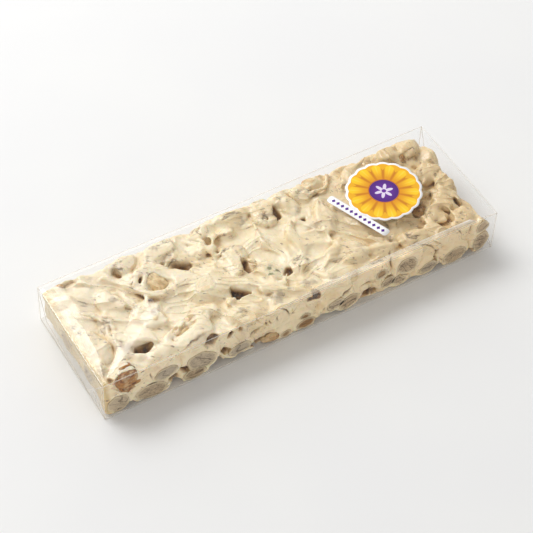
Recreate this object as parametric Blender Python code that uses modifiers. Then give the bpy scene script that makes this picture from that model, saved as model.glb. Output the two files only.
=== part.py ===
"""A nougat bar sealed in a clear film pack, with a die-cut label stuck on its top.

The film is folded round the bar like a parcel: a long seam runs along the front top edge, and each end is
closed by two flaps, one folded up from the base and one folded down from the top. The pack is modelled as the
closed solid that the film bounds, and the label as a thin plate lying on it.

Metres, +Z up. The origin is on the base, under the middle of the pack. +X runs along the bar, and -Y is the
side with the seam.
"""

import math

import bmesh
import bpy
from mathutils import Matrix, Vector

# Driving dimensions of the pack.
PACK_LENGTH = 0.207
PACK_WIDTH = 0.065
PACK_HEIGHT = 0.0248
FOLD_RADIUS = 0.0006
FOLD_SEGMENTS = 2
REST_GAP = 0.0003

# The folded ends. A flap is a trapezoid as wide as the pack at its fold and narrower at its free edge.
FLAP_THICKNESS = 0.0004
FLAP_SIDE_ANGLE = math.radians(52)
LOWER_FLAP_HEIGHT = 0.60 * PACK_HEIGHT
UPPER_FLAP_HEIGHT = 0.80 * PACK_HEIGHT
FLAP_MARGIN = 0.0010
SUNK = 0.0006

# The long seam, where one edge of the film laps over the other.
SEAM_WIDTH = 0.0034
SEAM_THICKNESS = 0.0003
SEAM_RIGHT_END = 0.0115
SEAM_LEFT_END = 0.0025
SEAM_SLANT = 0.0030

# The label: a scalloped badge with a strip below it, cut out in one piece.
LABEL_THICKNESS = 0.00025
BADGE_CENTRE = Vector((0.0639, 0.0048))
BADGE_WIDTH = 0.0360
BADGE_HEIGHT = 0.0380
SCALLOPS = 18
SCALLOP_DEPTH = 0.0007
POINTS_PER_SCALLOP = 8
STRIP_LENGTH = 0.0345
STRIP_WIDTH = 0.0044
STRIP_RADIUS = 0.0014
STRIP_OVERLAP = 0.0010
STRIP_CORNER_POINTS = 5
READING_DIRECTION = math.radians(-69)

CLEAR_FILM = ("clear_film", (0.93, 0.87, 0.73, 1.0), 0.12)
LABEL_PRINT = ("label_print", (0.95, 0.62, 0.06, 1.0), 0.35)


def remove_startup_objects():
    for item in list(bpy.data.objects):
        bpy.data.objects.remove(item, do_unlink=True)


def new_collection(name, hidden=False):
    collection = bpy.data.collections.new(name)
    collection.hide_render = hidden
    bpy.context.scene.collection.children.link(collection)
    return collection


def make_material(name, colour, roughness):
    """A Principled material of one colour."""
    material = bpy.data.materials.new(name)
    material.use_nodes = True
    shader = material.node_tree.nodes["Principled BSDF"]
    shader.inputs["Base Color"].default_value = colour
    shader.inputs["Roughness"].default_value = roughness
    shader.inputs["Metallic"].default_value = 0.0
    return material


def put_in(item, collection):
    """Moves an object that an operator made into one collection."""
    for holder in list(item.users_collection):
        holder.objects.unlink(item)
    collection.objects.link(item)
    return item


def plate(name, outline, thickness, place, collection):
    """A flat plate: an outline in its own XY plane, thickened upwards, then put where place says."""
    mesh = bpy.data.meshes.new(name)
    shape = bmesh.new()
    rim = [shape.verts.new((x, y, 0.0)) for x, y in outline]
    face = shape.faces.new(rim)
    raised = bmesh.ops.extrude_face_region(shape, geom=[face])
    top = [v for v in raised["geom"] if isinstance(v, bmesh.types.BMVert)]
    bmesh.ops.translate(shape, verts=top, vec=(0.0, 0.0, thickness))
    bmesh.ops.recalc_face_normals(shape, faces=shape.faces)
    shape.transform(place)
    bmesh.ops.recalc_face_normals(shape, faces=shape.faces)
    shape.to_mesh(mesh)
    shape.free()
    item = bpy.data.objects.new(name, mesh)
    collection.objects.link(item)
    return item


def join_by_union(item, others):
    """Adds each of the others to the item with a Boolean union, and marks them as helpers."""
    for other in others:
        union = item.modifiers.new("join_" + other.name, "BOOLEAN")
        union.operation = "UNION"
        union.solver = "EXACT"
        union.object = other
        other.hide_render = True
        other.display_type = "WIRE"


def pack_body(collection):
    """The block that the film encloses, with its edges rounded where the film is creased."""
    bpy.ops.mesh.primitive_cube_add(size=1.0)
    body = put_in(bpy.context.active_object, collection)
    body.name = "pack"
    body.data.name = "pack"
    length = PACK_LENGTH - 4 * FLAP_THICKNESS
    size = Matrix.Diagonal((length, PACK_WIDTH, PACK_HEIGHT - SEAM_THICKNESS, 1.0))
    body.data.transform(Matrix.Translation((0, 0, (PACK_HEIGHT - SEAM_THICKNESS) / 2)) @ size)
    fold = body.modifiers.new("film_folds", "BEVEL")
    fold.width = FOLD_RADIUS
    fold.segments = FOLD_SEGMENTS
    fold.limit_method = "ANGLE"
    return body


def flap_outline(height, margin):
    """A trapezoid from its fold at y = 0 up to its free edge, a margin inside the pack's width."""
    half = PACK_WIDTH / 2 - margin
    narrowed = half - height / math.tan(FLAP_SIDE_ANGLE)
    return [(-half, 0.0), (half, 0.0), (narrowed, height), (-narrowed, height)]


def end_frame(side, distance, fold_height, upward):
    """The plane of one end: its x runs across the pack, its y along the end wall, its z outwards."""
    out = Vector((side, 0.0, 0.0))
    along = Vector((0.0, 0.0, 1.0 if upward else -1.0))
    across = along.cross(out)
    frame = Matrix((across, along, out)).transposed().to_4x4()
    return Matrix.Translation((side * distance, 0.0, fold_height)) @ frame


def end_flaps(side, word, collection):
    """The flap folded up from the base, and over it the flap folded down from the top."""
    wall = PACK_LENGTH / 2 - 2 * FLAP_THICKNESS
    low = plate(
        f"lower_flap_{word}",
        flap_outline(LOWER_FLAP_HEIGHT, FLAP_MARGIN),
        SUNK + FLAP_THICKNESS,
        end_frame(side, wall - SUNK, FOLD_RADIUS, True),
        collection,
    )
    high = plate(
        f"upper_flap_{word}",
        flap_outline(UPPER_FLAP_HEIGHT, FLAP_MARGIN),
        SUNK + 2 * FLAP_THICKNESS,
        end_frame(side, wall - SUNK, PACK_HEIGHT - SEAM_THICKNESS - FOLD_RADIUS, False),
        collection,
    )
    return [low, high]


def seam_strip(collection):
    """The lapped edge of the film, along the front edge of the top, cut off at a slant."""
    left = -PACK_LENGTH / 2 + SEAM_LEFT_END
    right = PACK_LENGTH / 2 - SEAM_RIGHT_END
    front = -PACK_WIDTH / 2 + FOLD_RADIUS
    back = front + SEAM_WIDTH
    outline = [(left, front), (right, front), (right - SEAM_SLANT, back), (left, back)]
    place = Matrix.Translation((0, 0, PACK_HEIGHT - SEAM_THICKNESS - SUNK))
    return plate("seam", outline, SUNK + SEAM_THICKNESS, place, collection)


def badge_outline():
    """An ellipse whose radius swells and shrinks by one scallop after another."""
    count = SCALLOPS * POINTS_PER_SCALLOP
    points = []
    for step in range(count):
        angle = 2 * math.pi * step / count
        bump = abs(math.sin(SCALLOPS * angle / 2))
        swell = SCALLOP_DEPTH * (bump - 1)
        points.append(
            ((BADGE_WIDTH / 2 + swell) * math.cos(angle), (BADGE_HEIGHT / 2 + swell) * math.sin(angle))
        )
    return points


def strip_outline():
    """A rectangle with round corners, under the badge."""
    centre_y = -BADGE_HEIGHT / 2 - STRIP_WIDTH / 2 + STRIP_OVERLAP
    points = []
    corners = [(1, -1, -90), (1, 1, 0), (-1, 1, 90), (-1, -1, 180)]
    for side_x, side_y, start in corners:
        x = side_x * (STRIP_LENGTH / 2 - STRIP_RADIUS)
        y = centre_y + side_y * (STRIP_WIDTH / 2 - STRIP_RADIUS)
        for step in range(STRIP_CORNER_POINTS):
            angle = math.radians(start + 90 * step / (STRIP_CORNER_POINTS - 1))
            points.append((x + STRIP_RADIUS * math.cos(angle), y + STRIP_RADIUS * math.sin(angle)))
    return points


def label(collection, helpers):
    """The die-cut label, turned the way it is stuck on the pack."""
    lift = PACK_HEIGHT - SEAM_THICKNESS + REST_GAP
    place = Matrix.Translation((BADGE_CENTRE.x, BADGE_CENTRE.y, lift)) @ Matrix.Rotation(
        READING_DIRECTION, 4, "Z"
    )
    badge = plate("label", badge_outline(), LABEL_THICKNESS, place, collection)
    strip = plate("label_strip", strip_outline(), LABEL_THICKNESS, place, helpers)
    join_by_union(badge, [strip])
    return badge


def build():
    remove_startup_objects()
    parts = new_collection("nougat_bar")
    helpers = new_collection("joined_shapes", hidden=True)
    pack = pack_body(parts)
    pieces = [seam_strip(helpers)]
    for side, word in ((-1, "left"), (1, "right")):
        pieces += end_flaps(side, word, helpers)
    join_by_union(pack, pieces)
    pack.data.materials.append(make_material(*CLEAR_FILM))
    tag = label(parts, helpers)
    tag.data.materials.append(make_material(*LABEL_PRINT))


build()
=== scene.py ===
# %% [markdown]
# # A nougat bar in its clear pack
#
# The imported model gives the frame: a solid block that stands for the film and what is in it, and a flat label on
# its top. This lesson dresses that block. The pack becomes a thin clear film with the nougat inside it, and the
# label gets its print. Lengths are worked out in millimetres, the size a sweet maker thinks in, and turned into
# metres when a mesh is made.

# %% Load the frame
import math

import bpy
import numpy as np
from mathutils import Matrix, Vector


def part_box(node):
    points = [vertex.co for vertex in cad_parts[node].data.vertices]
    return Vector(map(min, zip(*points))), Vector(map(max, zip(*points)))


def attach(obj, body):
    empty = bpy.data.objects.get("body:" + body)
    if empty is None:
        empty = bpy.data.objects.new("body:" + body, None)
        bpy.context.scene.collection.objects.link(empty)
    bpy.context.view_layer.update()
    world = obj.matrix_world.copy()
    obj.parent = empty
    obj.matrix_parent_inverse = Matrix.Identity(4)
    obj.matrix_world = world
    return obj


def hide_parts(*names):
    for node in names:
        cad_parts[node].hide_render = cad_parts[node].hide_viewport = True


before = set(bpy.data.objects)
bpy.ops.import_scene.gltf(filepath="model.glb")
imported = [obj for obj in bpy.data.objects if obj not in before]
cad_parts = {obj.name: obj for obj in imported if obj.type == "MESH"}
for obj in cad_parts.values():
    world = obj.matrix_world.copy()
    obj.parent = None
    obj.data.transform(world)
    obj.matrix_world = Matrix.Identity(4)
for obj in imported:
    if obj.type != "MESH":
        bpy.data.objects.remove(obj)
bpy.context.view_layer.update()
MM = 0.001
pack_low, pack_high = (np.array(corner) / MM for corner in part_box("pack"))
label_low, label_high = (np.array(corner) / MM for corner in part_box("label"))
print("pack from", pack_low.round(2), "to", pack_high.round(2), "mm")

# %% [markdown]
# ## The camera
#
# A product shot of something flat is taken from well above it with a long lens, which keeps the long edges of the
# pack almost parallel. The camera looks at a point near the middle of the pack, so it is described by how far it is
# turned round the pack, how high it stands and how far away it is.

# %% Camera
CAMERA_TURN = math.radians(-32.214)
CAMERA_HEIGHT = math.radians(49.946)
CAMERA_ROLL = math.radians(2.405)
CAMERA_DISTANCE = 0.89315
CAMERA_TARGET = Vector((0.003279, 0.009146, 0.0))
LENS_PER_SENSOR = 1900 / 533


def add_camera():
    """Looks along minus `back`; the roll turns the picture about that line."""
    back = Vector((
        math.sin(CAMERA_TURN) * math.cos(CAMERA_HEIGHT),
        -math.cos(CAMERA_TURN) * math.cos(CAMERA_HEIGHT),
        math.sin(CAMERA_HEIGHT),
    ))
    right = Vector((0, 0, 1)).cross(back).normalized()
    up = back.cross(right)
    axes = Matrix((right, up, back)).transposed().to_4x4() @ Matrix.Rotation(CAMERA_ROLL, 4, "Z")
    camera = bpy.data.cameras.new("camera")
    camera.lens = LENS_PER_SENSOR * camera.sensor_width
    camera.clip_start = 0.01
    holder = bpy.data.objects.new("camera", camera)
    holder.matrix_world = Matrix.Translation(CAMERA_TARGET + CAMERA_DISTANCE * back) @ axes
    bpy.context.scene.collection.objects.link(holder)
    bpy.context.scene.camera = holder
    return holder


camera = add_camera()
print("camera at", [round(v, 3) for v in camera.matrix_world.translation])

# %% [markdown]
# ## A small language for shaders
#
# A material here is a formula, such as "cream, but greyer where the coat is thin". Wiring nodes by hand hides the
# formula, so one class wraps an output socket: adding or multiplying two of them adds the Math node that does it.


# %% Wrapped sockets
class Shade:
    """An output socket of one material. Arithmetic on it adds Math nodes and returns a new wrapped socket."""

    def __init__(self, tree, socket):
        self.tree = tree
        self.socket = socket

    def node(self, kind, inputs=(), out=0, **settings):
        """Any other node: settings are set first, then inputs, given by name or place, are linked or filled in."""
        made = self.tree.nodes.new("ShaderNode" + kind)
        for key, value in settings.items():
            if key == "stops":
                fill_ramp(made.color_ramp, value)
            else:
                setattr(made, key, value)
        for place, value in dict(inputs).items():
            target = made.inputs[place]
            if isinstance(value, Shade):
                self.tree.links.new(value.socket, target)
            else:
                target.default_value = value
        return Shade(self.tree, made.outputs[out])

    def math(self, operation, *others, clamp=False):
        inputs = dict(enumerate((self,) + others))
        return self.node("Math", inputs, operation=operation, use_clamp=clamp)

    def __add__(self, other):
        return self.math("ADD", other)

    __radd__ = __add__

    def __mul__(self, other):
        return self.math("MULTIPLY", other)

    __rmul__ = __mul__

    def __sub__(self, other):
        return self.math("SUBTRACT", other)

    def __rsub__(self, other):
        return self.node("Math", {0: other, 1: self}, operation="SUBTRACT")

    def __truediv__(self, other):
        return self.math("DIVIDE", other)

    def __pow__(self, other):
        return self.math("POWER", other)

    def least(self, other):
        return self.math("MINIMUM", other)

    def most(self, other):
        return self.math("MAXIMUM", other)

    def step(self, low, high, bottom=0.0, top=1.0):
        """A smooth step from bottom to top as the value goes from low to high."""
        ends = {0: self, 1: low, 2: high, 3: bottom, 4: top}
        return self.node("MapRange", ends, interpolation_type="SMOOTHSTEP")

    def mix(self, first, second):
        """The first colour where this value is 0, the second where it is 1."""
        return self.node("Mix", {0: self, 6: first, 7: second}, out=2, data_type="RGBA")

    def scaled(self, by):
        """A vector with each part multiplied."""
        return self.node("VectorMath", {0: self, 1: by}, operation="MULTIPLY")

    def moved(self, by):
        return self.node("VectorMath", {0: self, 1: by}, operation="ADD")


def fill_ramp(ramp, stops):
    """stops is a list of (place, colour)."""
    while len(ramp.elements) < len(stops):
        ramp.elements.new(1.0)
    for element, (place, colour) in zip(ramp.elements, stops):
        element.position = place
        element.color = colour


def colour(red, green, blue):
    """A colour given as a paint chart gives it, 0 to 255, as the linear numbers that a shader needs."""
    def linear(v):
        v = v / 255
        return v / 12.92 if v <= 0.04045 else ((v + 0.055) / 1.055) ** 2.4

    return (linear(red), linear(green), linear(blue), 1.0)


def new_material(name, **constants):
    """A material with a Principled shader. The constants go on its own sockets. Returns it with two helpers."""
    material = bpy.data.materials.new(name)
    material.use_nodes = True
    tree = material.node_tree
    shader = tree.nodes["Principled BSDF"]
    for key, value in constants.items():
        shader.inputs[key.replace("_", " ")].default_value = value
    place = Shade(tree, tree.nodes.new("ShaderNodeTexCoord").outputs["Object"])
    return material, shader, place


def feed(shader, socket, value):
    """Links a wrapped socket to one of the shader's own."""
    value.tree.links.new(value.socket, shader.inputs[socket])


def attribute(place, name, out="Fac"):
    return place.node("Attribute", out=out, attribute_name=name)


def noise(place, size, detail=2.0, roughness=0.5, out=0, distortion=0.0):
    """Noise from 0 to 1 whose lumps are about this many millimetres across."""
    inputs = {"Vector": place, "Scale": 1 / (size * MM), "Detail": detail, "Roughness": roughness}
    inputs["Distortion"] = distortion
    return place.node("TexNoise", inputs, out=out)


def bump(place, height, distance, strength=1.0):
    return place.node("Bump", {"Height": height, "Distance": distance, "Strength": strength})


# %% [markdown]
# ## The room
#
# The bar lies on a white sweep under one big soft light, high up behind it on the left, and white walls fill the
# shadows. The light also shows as a mirror image in the film wherever the film leans towards it, so its place and
# size matter for the gloss as much as for the shading.

# %% Floor, sky and lamps
FLOOR_SIZE = 6.0
KEY_DIRECTION = Vector((-0.40, 0.62, 0.72)).normalized()
KEY_DISTANCE = 2.2
KEY_SIZE = (1.03, 0.93)
KEY_POWER = 19.8
GLOSS_DISTANCE = 1.6
GLOSS_DIRECTION = Vector((-0.085, 0.655, 0.75)).normalized()
GLOSS_SIZE = (0.83, 0.70)
GLOSS_POWER = 8.0
WALL_DIRECTION = Vector((0.15, 1.0, 0.36)).normalized()
WALL_DISTANCE = 1.6
WALL_SIZE = (2.0, 0.5)
WALL_POWER = 4.5
FILL_DIRECTION = Vector((-0.25, -1.0, 0.14)).normalized()
FILL_DISTANCE = 1.5
FILL_SIZE = (1.6, 0.3)
FILL_POWER = 3.1
SKY_STRENGTH = 0.55


def add_floor():
    bpy.ops.mesh.primitive_plane_add(size=FLOOR_SIZE)
    floor = bpy.context.active_object
    floor.name = "floor"
    material, shader, place = new_material("floor_paint", Roughness=0.65, Specular_IOR_Level=0.25)
    tint = noise(place, 90, 2).step(0.3, 0.7).mix(colour(231, 231, 231), colour(233, 233, 232))
    feed(shader, "Base Color", tint)
    floor.data.materials.append(material)
    return floor


def add_softbox(name, direction, distance, size, power, shade=(1, 1, 1)):
    """A rectangle of light that faces the pack."""
    lamp = bpy.data.lights.new(name, "AREA")
    lamp.shape = "RECTANGLE"
    lamp.size, lamp.size_y = size
    lamp.energy = power
    lamp.color = shade
    holder = bpy.data.objects.new(name, lamp)
    holder.location = direction.normalized() * distance
    holder.rotation_euler = direction.to_track_quat("Z", "Y").to_euler()
    bpy.context.scene.collection.objects.link(holder)
    return holder


def add_sky():
    world = bpy.data.worlds.new("white_walls")
    bpy.context.scene.world = world
    world.use_nodes = True
    background = world.node_tree.nodes["Background"]
    background.inputs["Color"].default_value = (1.0, 0.995, 0.985, 1.0)
    background.inputs["Strength"].default_value = SKY_STRENGTH


add_floor()
add_sky()
add_softbox("key", KEY_DIRECTION, KEY_DISTANCE, KEY_SIZE, KEY_POWER)
add_softbox("gloss", GLOSS_DIRECTION, GLOSS_DISTANCE, GLOSS_SIZE, GLOSS_POWER)
add_softbox("wall", WALL_DIRECTION, WALL_DISTANCE, WALL_SIZE, WALL_POWER)
add_softbox("fill", FILL_DIRECTION, FILL_DISTANCE, FILL_SIZE, FILL_POWER, (1.0, 0.93, 0.82))
bpy.context.scene.view_settings.view_transform = "Standard"
print("key light", KEY_SIZE, "m at", KEY_DISTANCE, "m")

# %% [markdown]
# ## Nougat as a distance field
#
# Nougat is sticky foam pulled over whole nuts. Each nut is a lump under a coat, coats run into each other in hollow
# curves, and where the spoon left them they stand up in thin ridges. A surface drawn over a grid can't fold back
# over itself or open into a hole, so this shape is made another way: a block of numbers, one for each small cube of
# space, that says how far that cube is from the nougat's skin. Shapes are melted together by a smooth minimum of
# their distances, cut by a maximum, and the skin is where the number is zero.
#
# Everything works on whole arrays. First comes the grid, and a soft noise that can be read anywhere in it.

# %% The grid and its noise
STEP = 0.5
grid_low = pack_low - STEP * 1.5
grid_shape = tuple(np.ceil((pack_high + 1.5 * STEP - grid_low) / STEP).astype(int) + 1)
axes = [grid_low[k] + STEP * np.arange(grid_shape[k]) for k in range(3)]
X, Y, Z = (a.astype(np.float32) for a in np.meshgrid(*axes, indexing="ij"))
print("grid", grid_shape, "of", X.size, "cubes")

TABLE_SIDE = 32
TABLE = np.random.default_rng(11).uniform(-1, 1, (TABLE_SIDE,) * 3).astype(np.float32)


def soft_noise(x, y, z, size, sort=0):
    """Values from -1 to 1: random numbers at the corners of cubes of this size, blended inside each cube by
    3t^2 - 2t^3 along each axis. Each sort reads another part of the same table."""
    corners, weights = [], []
    for along, offset in zip((x, y, z), (0.37, 5.11, 9.73)):
        scaled = along / np.float32(size) + np.float32(offset + 3.17 * sort)
        whole = np.floor(scaled)
        t = scaled - whole
        cell = whole.astype(np.int32) % TABLE_SIDE
        corners.append((cell, (cell + 1) % TABLE_SIDE))
        weights.append(t * t * (3 - 2 * t))
    total = 0
    for i in (0, 1):
        for j in (0, 1):
            near = TABLE[corners[0][i], corners[1][j], corners[2][0]]
            far = TABLE[corners[0][i], corners[1][j], corners[2][1]]
            share = (weights[0] if i else 1 - weights[0]) * (weights[1] if j else 1 - weights[1])
            total = total + share * (near + (far - near) * weights[2])
    return total


def melt(a, b, reach):
    """The smooth minimum: b + (a - b) h - reach h (1 - h), with h rising from 0 to 1 as a falls below b."""
    h = np.clip(0.5 + 0.5 * (b - a) / reach, 0, 1)
    return b + (a - b) * h - reach * h * (1 - h)


def carve(a, b, reach):
    """The smooth maximum of a and b, the mirror image of melt."""
    return -melt(-a, -b, reach)


# %% Space stirred like the foam
# Distances are measured in stirred space, so that no lump is a perfect egg.
stirred_x = X + 1.9 * soft_noise(X, Y, Z, 11, 1) + 0.35 * soft_noise(X, Y, Z, 4.4, 2)
stirred_y = Y + 1.9 * soft_noise(X, Y, Z, 11, 3) + 0.35 * soft_noise(X, Y, Z, 4.4, 4)
stirred_z = Z + 0.9 * soft_noise(X, Y, Z, 10, 5) + 0.3 * soft_noise(X, Y, Z, 4.2, 6)
print("stirred by up to", round(float(np.abs(stirred_x - X).max()), 2), "mm")


def part_of_grid(centre, reach):
    """The slices of the grid within reach of a centre."""
    low = np.maximum(np.floor((centre - reach - grid_low) / STEP).astype(int), 0)
    high = np.minimum(np.ceil((centre + reach - grid_low) / STEP).astype(int) + 1, grid_shape)
    return tuple(slice(a, b) for a, b in zip(low, high))


def spread_directions(count, rng):
    """Unit vectors spread evenly over a ball on a golden spiral, then turned at random."""
    i = np.arange(count) + 0.5
    height = 1 - 2 * i / count
    ring = np.sqrt(1 - height**2)
    angle = i * math.pi * (3 - math.sqrt(5))
    turned, _ = np.linalg.qr(rng.normal(size=(3, 3)))
    return np.stack([ring * np.cos(angle), ring * np.sin(angle), height], 1) @ turned


def turned_axes(turn, tilt):
    """Rows: the long, wide and high axis of a lump, turned about Z and then tilted end up."""
    c, s, d, e = math.cos(turn), math.sin(turn), math.cos(tilt), math.sin(tilt)
    return np.array([[c * d, s * d, e], [-s, c, 0], [-c * e, -s * e, d]])


def facets_of(half, count, chips, rng):
    """Planes that touch an ellipsoid with these half lengths, each pushed in by up to `chips` of its distance: their
    directions and their distances."""
    normals = spread_directions(count, rng)
    return normals, np.linalg.norm(normals * half, axis=1) * (1 - chips * rng.random(count))


def pebble(part, centre, facets, axes, sharpness=1.5, space=(stirred_x, stirred_y, stirred_z)):
    """How far each cube is from a lump with soft facets: the smooth maximum, log(sum(exp(s d))) / s, of the
    distances d to its planes."""
    away = [along[part] - middle for along, middle in zip(space, centre)]
    normals, reach = facets
    total = 0
    for normal, r in zip(normals @ axes, reach):
        plane = normal[0] * away[0] + normal[1] * away[1] + normal[2] * away[2] - r
        total = total + np.exp(np.clip(sharpness * plane, -30, 30))
    return ((np.log(total) - math.log(2.5)) / sharpness).astype(np.float32)


def thread(part, start, end, radius):
    """How far each cube is from a round-ended rod."""
    away = [stirred_x[part] - start[0], stirred_y[part] - start[1], stirred_z[part] - start[2]]
    run = end - start
    t = np.clip(sum(a * r for a, r in zip(away, run)) / (run @ run), 0, 1)
    return np.sqrt(sum((a - t * r) ** 2 for a, r in zip(away, run))) - radius


# %% [markdown]
# ## Lumps
#
# The nuts lie as they fell, so their places are a given list, one line for each lump that stands out of the top. Each
# has a place, a half length and half width, the turn of its long side, the height of its top, and how far its coat
# runs
# into its neighbours: a small number gives a crisp dark seam and a large one a smooth saddle.

# %% Lumps on the top
# x, y, half length, half width, turn in degrees, height of the top, melt
TOP_LUMPS = [
    (-98, 20, 4, 8, 80, 22.6, 1.2), (-99, -20, 4, 7, 0, 22.6, 1.2), (-66, 28, 11, 6.5, 0, 23.8, 0.9), (-84, 27, 6, 5, 20, 22.5, 1.6),
    (-70, 17, 6, 4, -50, 21.6, 1.2), (-78, 10, 5, 11, 0, 23.4, 2.2), (-95, -8, 5, 13, 10, 23.6, 1.3),
    (-86, -2, 7, 5, 60, 22.4, 1.6), (-86, -17, 10, 4.5, 60, 23.6, 0.9), (-67, -3, 10, 6.5, 10, 24.0, 1.2),
    (-73, -27, 8, 6, 10, 23.2, 1.2), (-54, 9, 10.5, 8, -50, 23.8, 0.9), (-55, -25, 12, 7, 12, 24.0, 0.8),
    (-44, -16, 9, 6, 0, 23.0, 1.6), (-44, 4, 7, 8, 0, 22.8, 1.2), (-48, 25, 12, 8, 5, 24.2, 0.9),
    (-30, 17, 7, 7, 10, 23.8, 0.8), (-6, 28, 8.5, 6.5, 5, 24.0, 0.8), (-17, 4, 12, 6.5, 75, 23.8, 0.7),
    (-6, -9, 8.5, 8, 0, 23.8, 0.6), (-27, -25, 11, 7, 5, 23.2, 1.6), (8, 24, 6.5, 8.5, 0, 24.0, 0.7),
    (20, 23, 5.5, 8.5, 5, 23.6, 1.0), (29, 25, 5, 6.5, 0, 23.6, 0.7), (31, 3, 9, 14, -25, 23.6, 1.8),
    (31, -17, 13, 9, 5, 24.0, 1.0), (57, 20, 15, 9, 33, 24.1, 0.9), (78, 28, 8.5, 6, -10, 24.0, 0.8),
    (91, 26, 7, 7, 0, 23.2, 1.2), (47, 2, 8, 10, 0, 23.0, 1.6), (90, 8, 8, 7, 0, 23.2, 1.0),
    (95, -2, 6, 6, 0, 22.2, 1.0), (78, -17, 7, 5.5, 10, 23.2, 0.7), (89, -10, 7, 9, 20, 23.6, 0.8),
    (62, -25, 8.5, 8, 0, 24.0, 0.8), (89, -25, 8, 7, 10, 23.8, 0.7), (72, -25, 5, 8, 20, 22.8, 0.8),
    (46, -22, 7, 7, 0, 23.0, 1.2), (70, 8, 10, 9, 0, 23.2, 1.2), (76, -2, 6, 6, 0, 22.2, 1.0),
    (4, -24, 9, 5, 0, 21.8, 1.6), (18, -25, 6, 5, 0, 22.7, 0.9), (58, -8, 7, 7, 0, 22.4, 1.2), (9.5, -11, 7.6, 7.8, 0, 24.0, 0.5),
    (-10, -25, 8, 6, 0, 22.6, 1.2), (-8, 6, 7, 8, 0, 20.6, 2.2),
]
COAT_LEVEL = 21.0
LUMP_HEIGHT = 0.85

layout = np.random.default_rng(5)
nut_near = np.full(X.shape, 9.0, np.float32)
level = COAT_LEVEL + 1.3 * soft_noise(X, Y, Z * 0 + 3, 13, 8)
level -= 1.3 * np.clip((X - 45) / 40, 0, 1)
skin = (stirred_z - level).astype(np.float32)
underside = 1.1 + 1.3 * soft_noise(X, Y, Z * 0, 9, 18)
end_lift = np.clip((-93 - X) / 7, 0, 1) * np.clip((Y + 27) / 5, 0, 1)
underside += end_lift * (5.0 + 2.0 * soft_noise(X * 0, Y, Z * 0, 12, 19))
skin = carve(skin, underside - Z, 1.5)
looseness = 1.0 + 1.5 * soft_noise(X, Y, Z * 0, 15, 21)
for x, y, long, wide, turn, top, reach in TOP_LUMPS:
    half = np.array([long, wide, LUMP_HEIGHT * min(long, wide)])
    centre = np.array([x, y, top - half[2]])
    part = part_of_grid(centre, np.array([max(long, wide) + 6] * 2 + [half[2] + 6]))
    lump_axes = turned_axes(math.radians(turn), 0.15 * layout.normal())
    lump = pebble(part, centre, facets_of(half, 18, 0.22, layout), lump_axes, 2.2)
    nut_near[part] = np.minimum(nut_near[part], lump)
    skin[part] = melt(skin[part], lump, np.clip(reach * looseness[part], 0.35, 5))
print(len(TOP_LUMPS), "lumps")

# %% [markdown]
# ## Nuts that the knife went through
#
# On the cut sides the nuts show as ovals. Each is a whole nut with its middle on the knife's plane, so the half
# beyond the plane is simply gone. Its coat goes into the foam here, and the nut itself is made later, from the same
# list. The front and the left end are listed one by one, and the back is laid out by chance in the same terms.

# %% Cut nuts
FRONT_CUT = -31.5
BACK_CUT = 31.4
LEFT_CUT = -102.4
CUT_NUT_DEPTH = 5.5
COAT = 0.9
# along the side, height, half length, half height, turn in degrees, tone from pale 0 to brown 1
FRONT_NUTS = [
    (-96.0, 6.4, 6.2, 5.5, -25, 0.30), (-79.5, 5.0, 9.0, 4.3, -8, 0.45), (-72.0, 13.2, 6.6, 3.8, 10, 0.20),
    (-57.5, 3.7, 6.6, 3.2, 0, 0.60), (-54.0, 10.9, 8.8, 5.0, -22, 0.25), (-34.5, 7.2, 6.8, 3.2, 8, 0.20),
    (-10.5, 2.9, 2.7, 1.8, 10, 0.80), (0.3, 4.1, 5.6, 2.7, 4, 0.95), (-0.5, 9.3, 3.0, 1.6, -5, 1.00),
    (16.0, 8.0, 5.0, 3.0, 12, 0.30), (23.2, 5.9, 6.0, 3.9, 24, 0.55), (40.3, 15.5, 3.0, 2.8, 10, 0.80),
    (44.5, 7.6, 4.0, 3.0, 20, 0.50), (50.5, 5.5, 4.2, 2.7, -30, 0.50), (55.0, 13.4, 6.4, 5.0, -38, 0.55),
    (67.0, 5.0, 5.5, 2.8, 5, 0.30), (82.0, 5.2, 7.0, 4.7, 5, 0.60), (96.6, 7.4, 4.2, 6.4, -12, 0.55),
    (96.0, 17.5, 3.4, 4.0, 10, 0.60),
]


def scattered_nuts(low, high, spacing, rng):
    """Ovals along a side, alternately low and high, in the same terms as FRONT_NUTS."""
    nuts = []
    for count, along in enumerate(np.arange(low, high, spacing)):
        long, short = rng.uniform(4.5, 8.0), rng.uniform(3.0, 4.6)
        height = (short + 1.0 if count % 2 else 13.5) + rng.uniform(0, 2.5)
        nuts.append((along + rng.uniform(-2, 2), height, long, short, rng.uniform(-35, 35), rng.uniform(0.0, 0.5)))
    return nuts


BACK_NUTS = scattered_nuts(-92, 96, 9.0, layout)
LEFT_NUTS = [(16.0, 13.5, 5.0, 4.0, 30, 0.30), (-6.0, 13.0, 6.0, 3.6, -10, 0.45)]
sides = {
    "front": (np.array([1.0, 0, 0]), np.array([0, FRONT_CUT, 0]), FRONT_NUTS),
    "back": (np.array([-1.0, 0, 0]), np.array([0, BACK_CUT, 0]), BACK_NUTS),
    "left": (np.array([0, -1.0, 0]), np.array([LEFT_CUT, 0, 0]), LEFT_NUTS),
}


def cut_nut_place(side, nut):
    """The middle of a nut on its side, its half lengths and its axes: long and high in the face, deep into it."""
    along, origin, _ = sides[side]
    s, height, long, short, turn, _ = nut
    up = np.array([0, 0, 1.0])
    c, d = math.cos(math.radians(turn)), math.sin(math.radians(turn))
    axes = np.array([c * along + d * up, np.cross(up, along), -d * along + c * up])
    return origin + along * s + up * height, np.array([long, CUT_NUT_DEPTH, short]), axes


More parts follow.
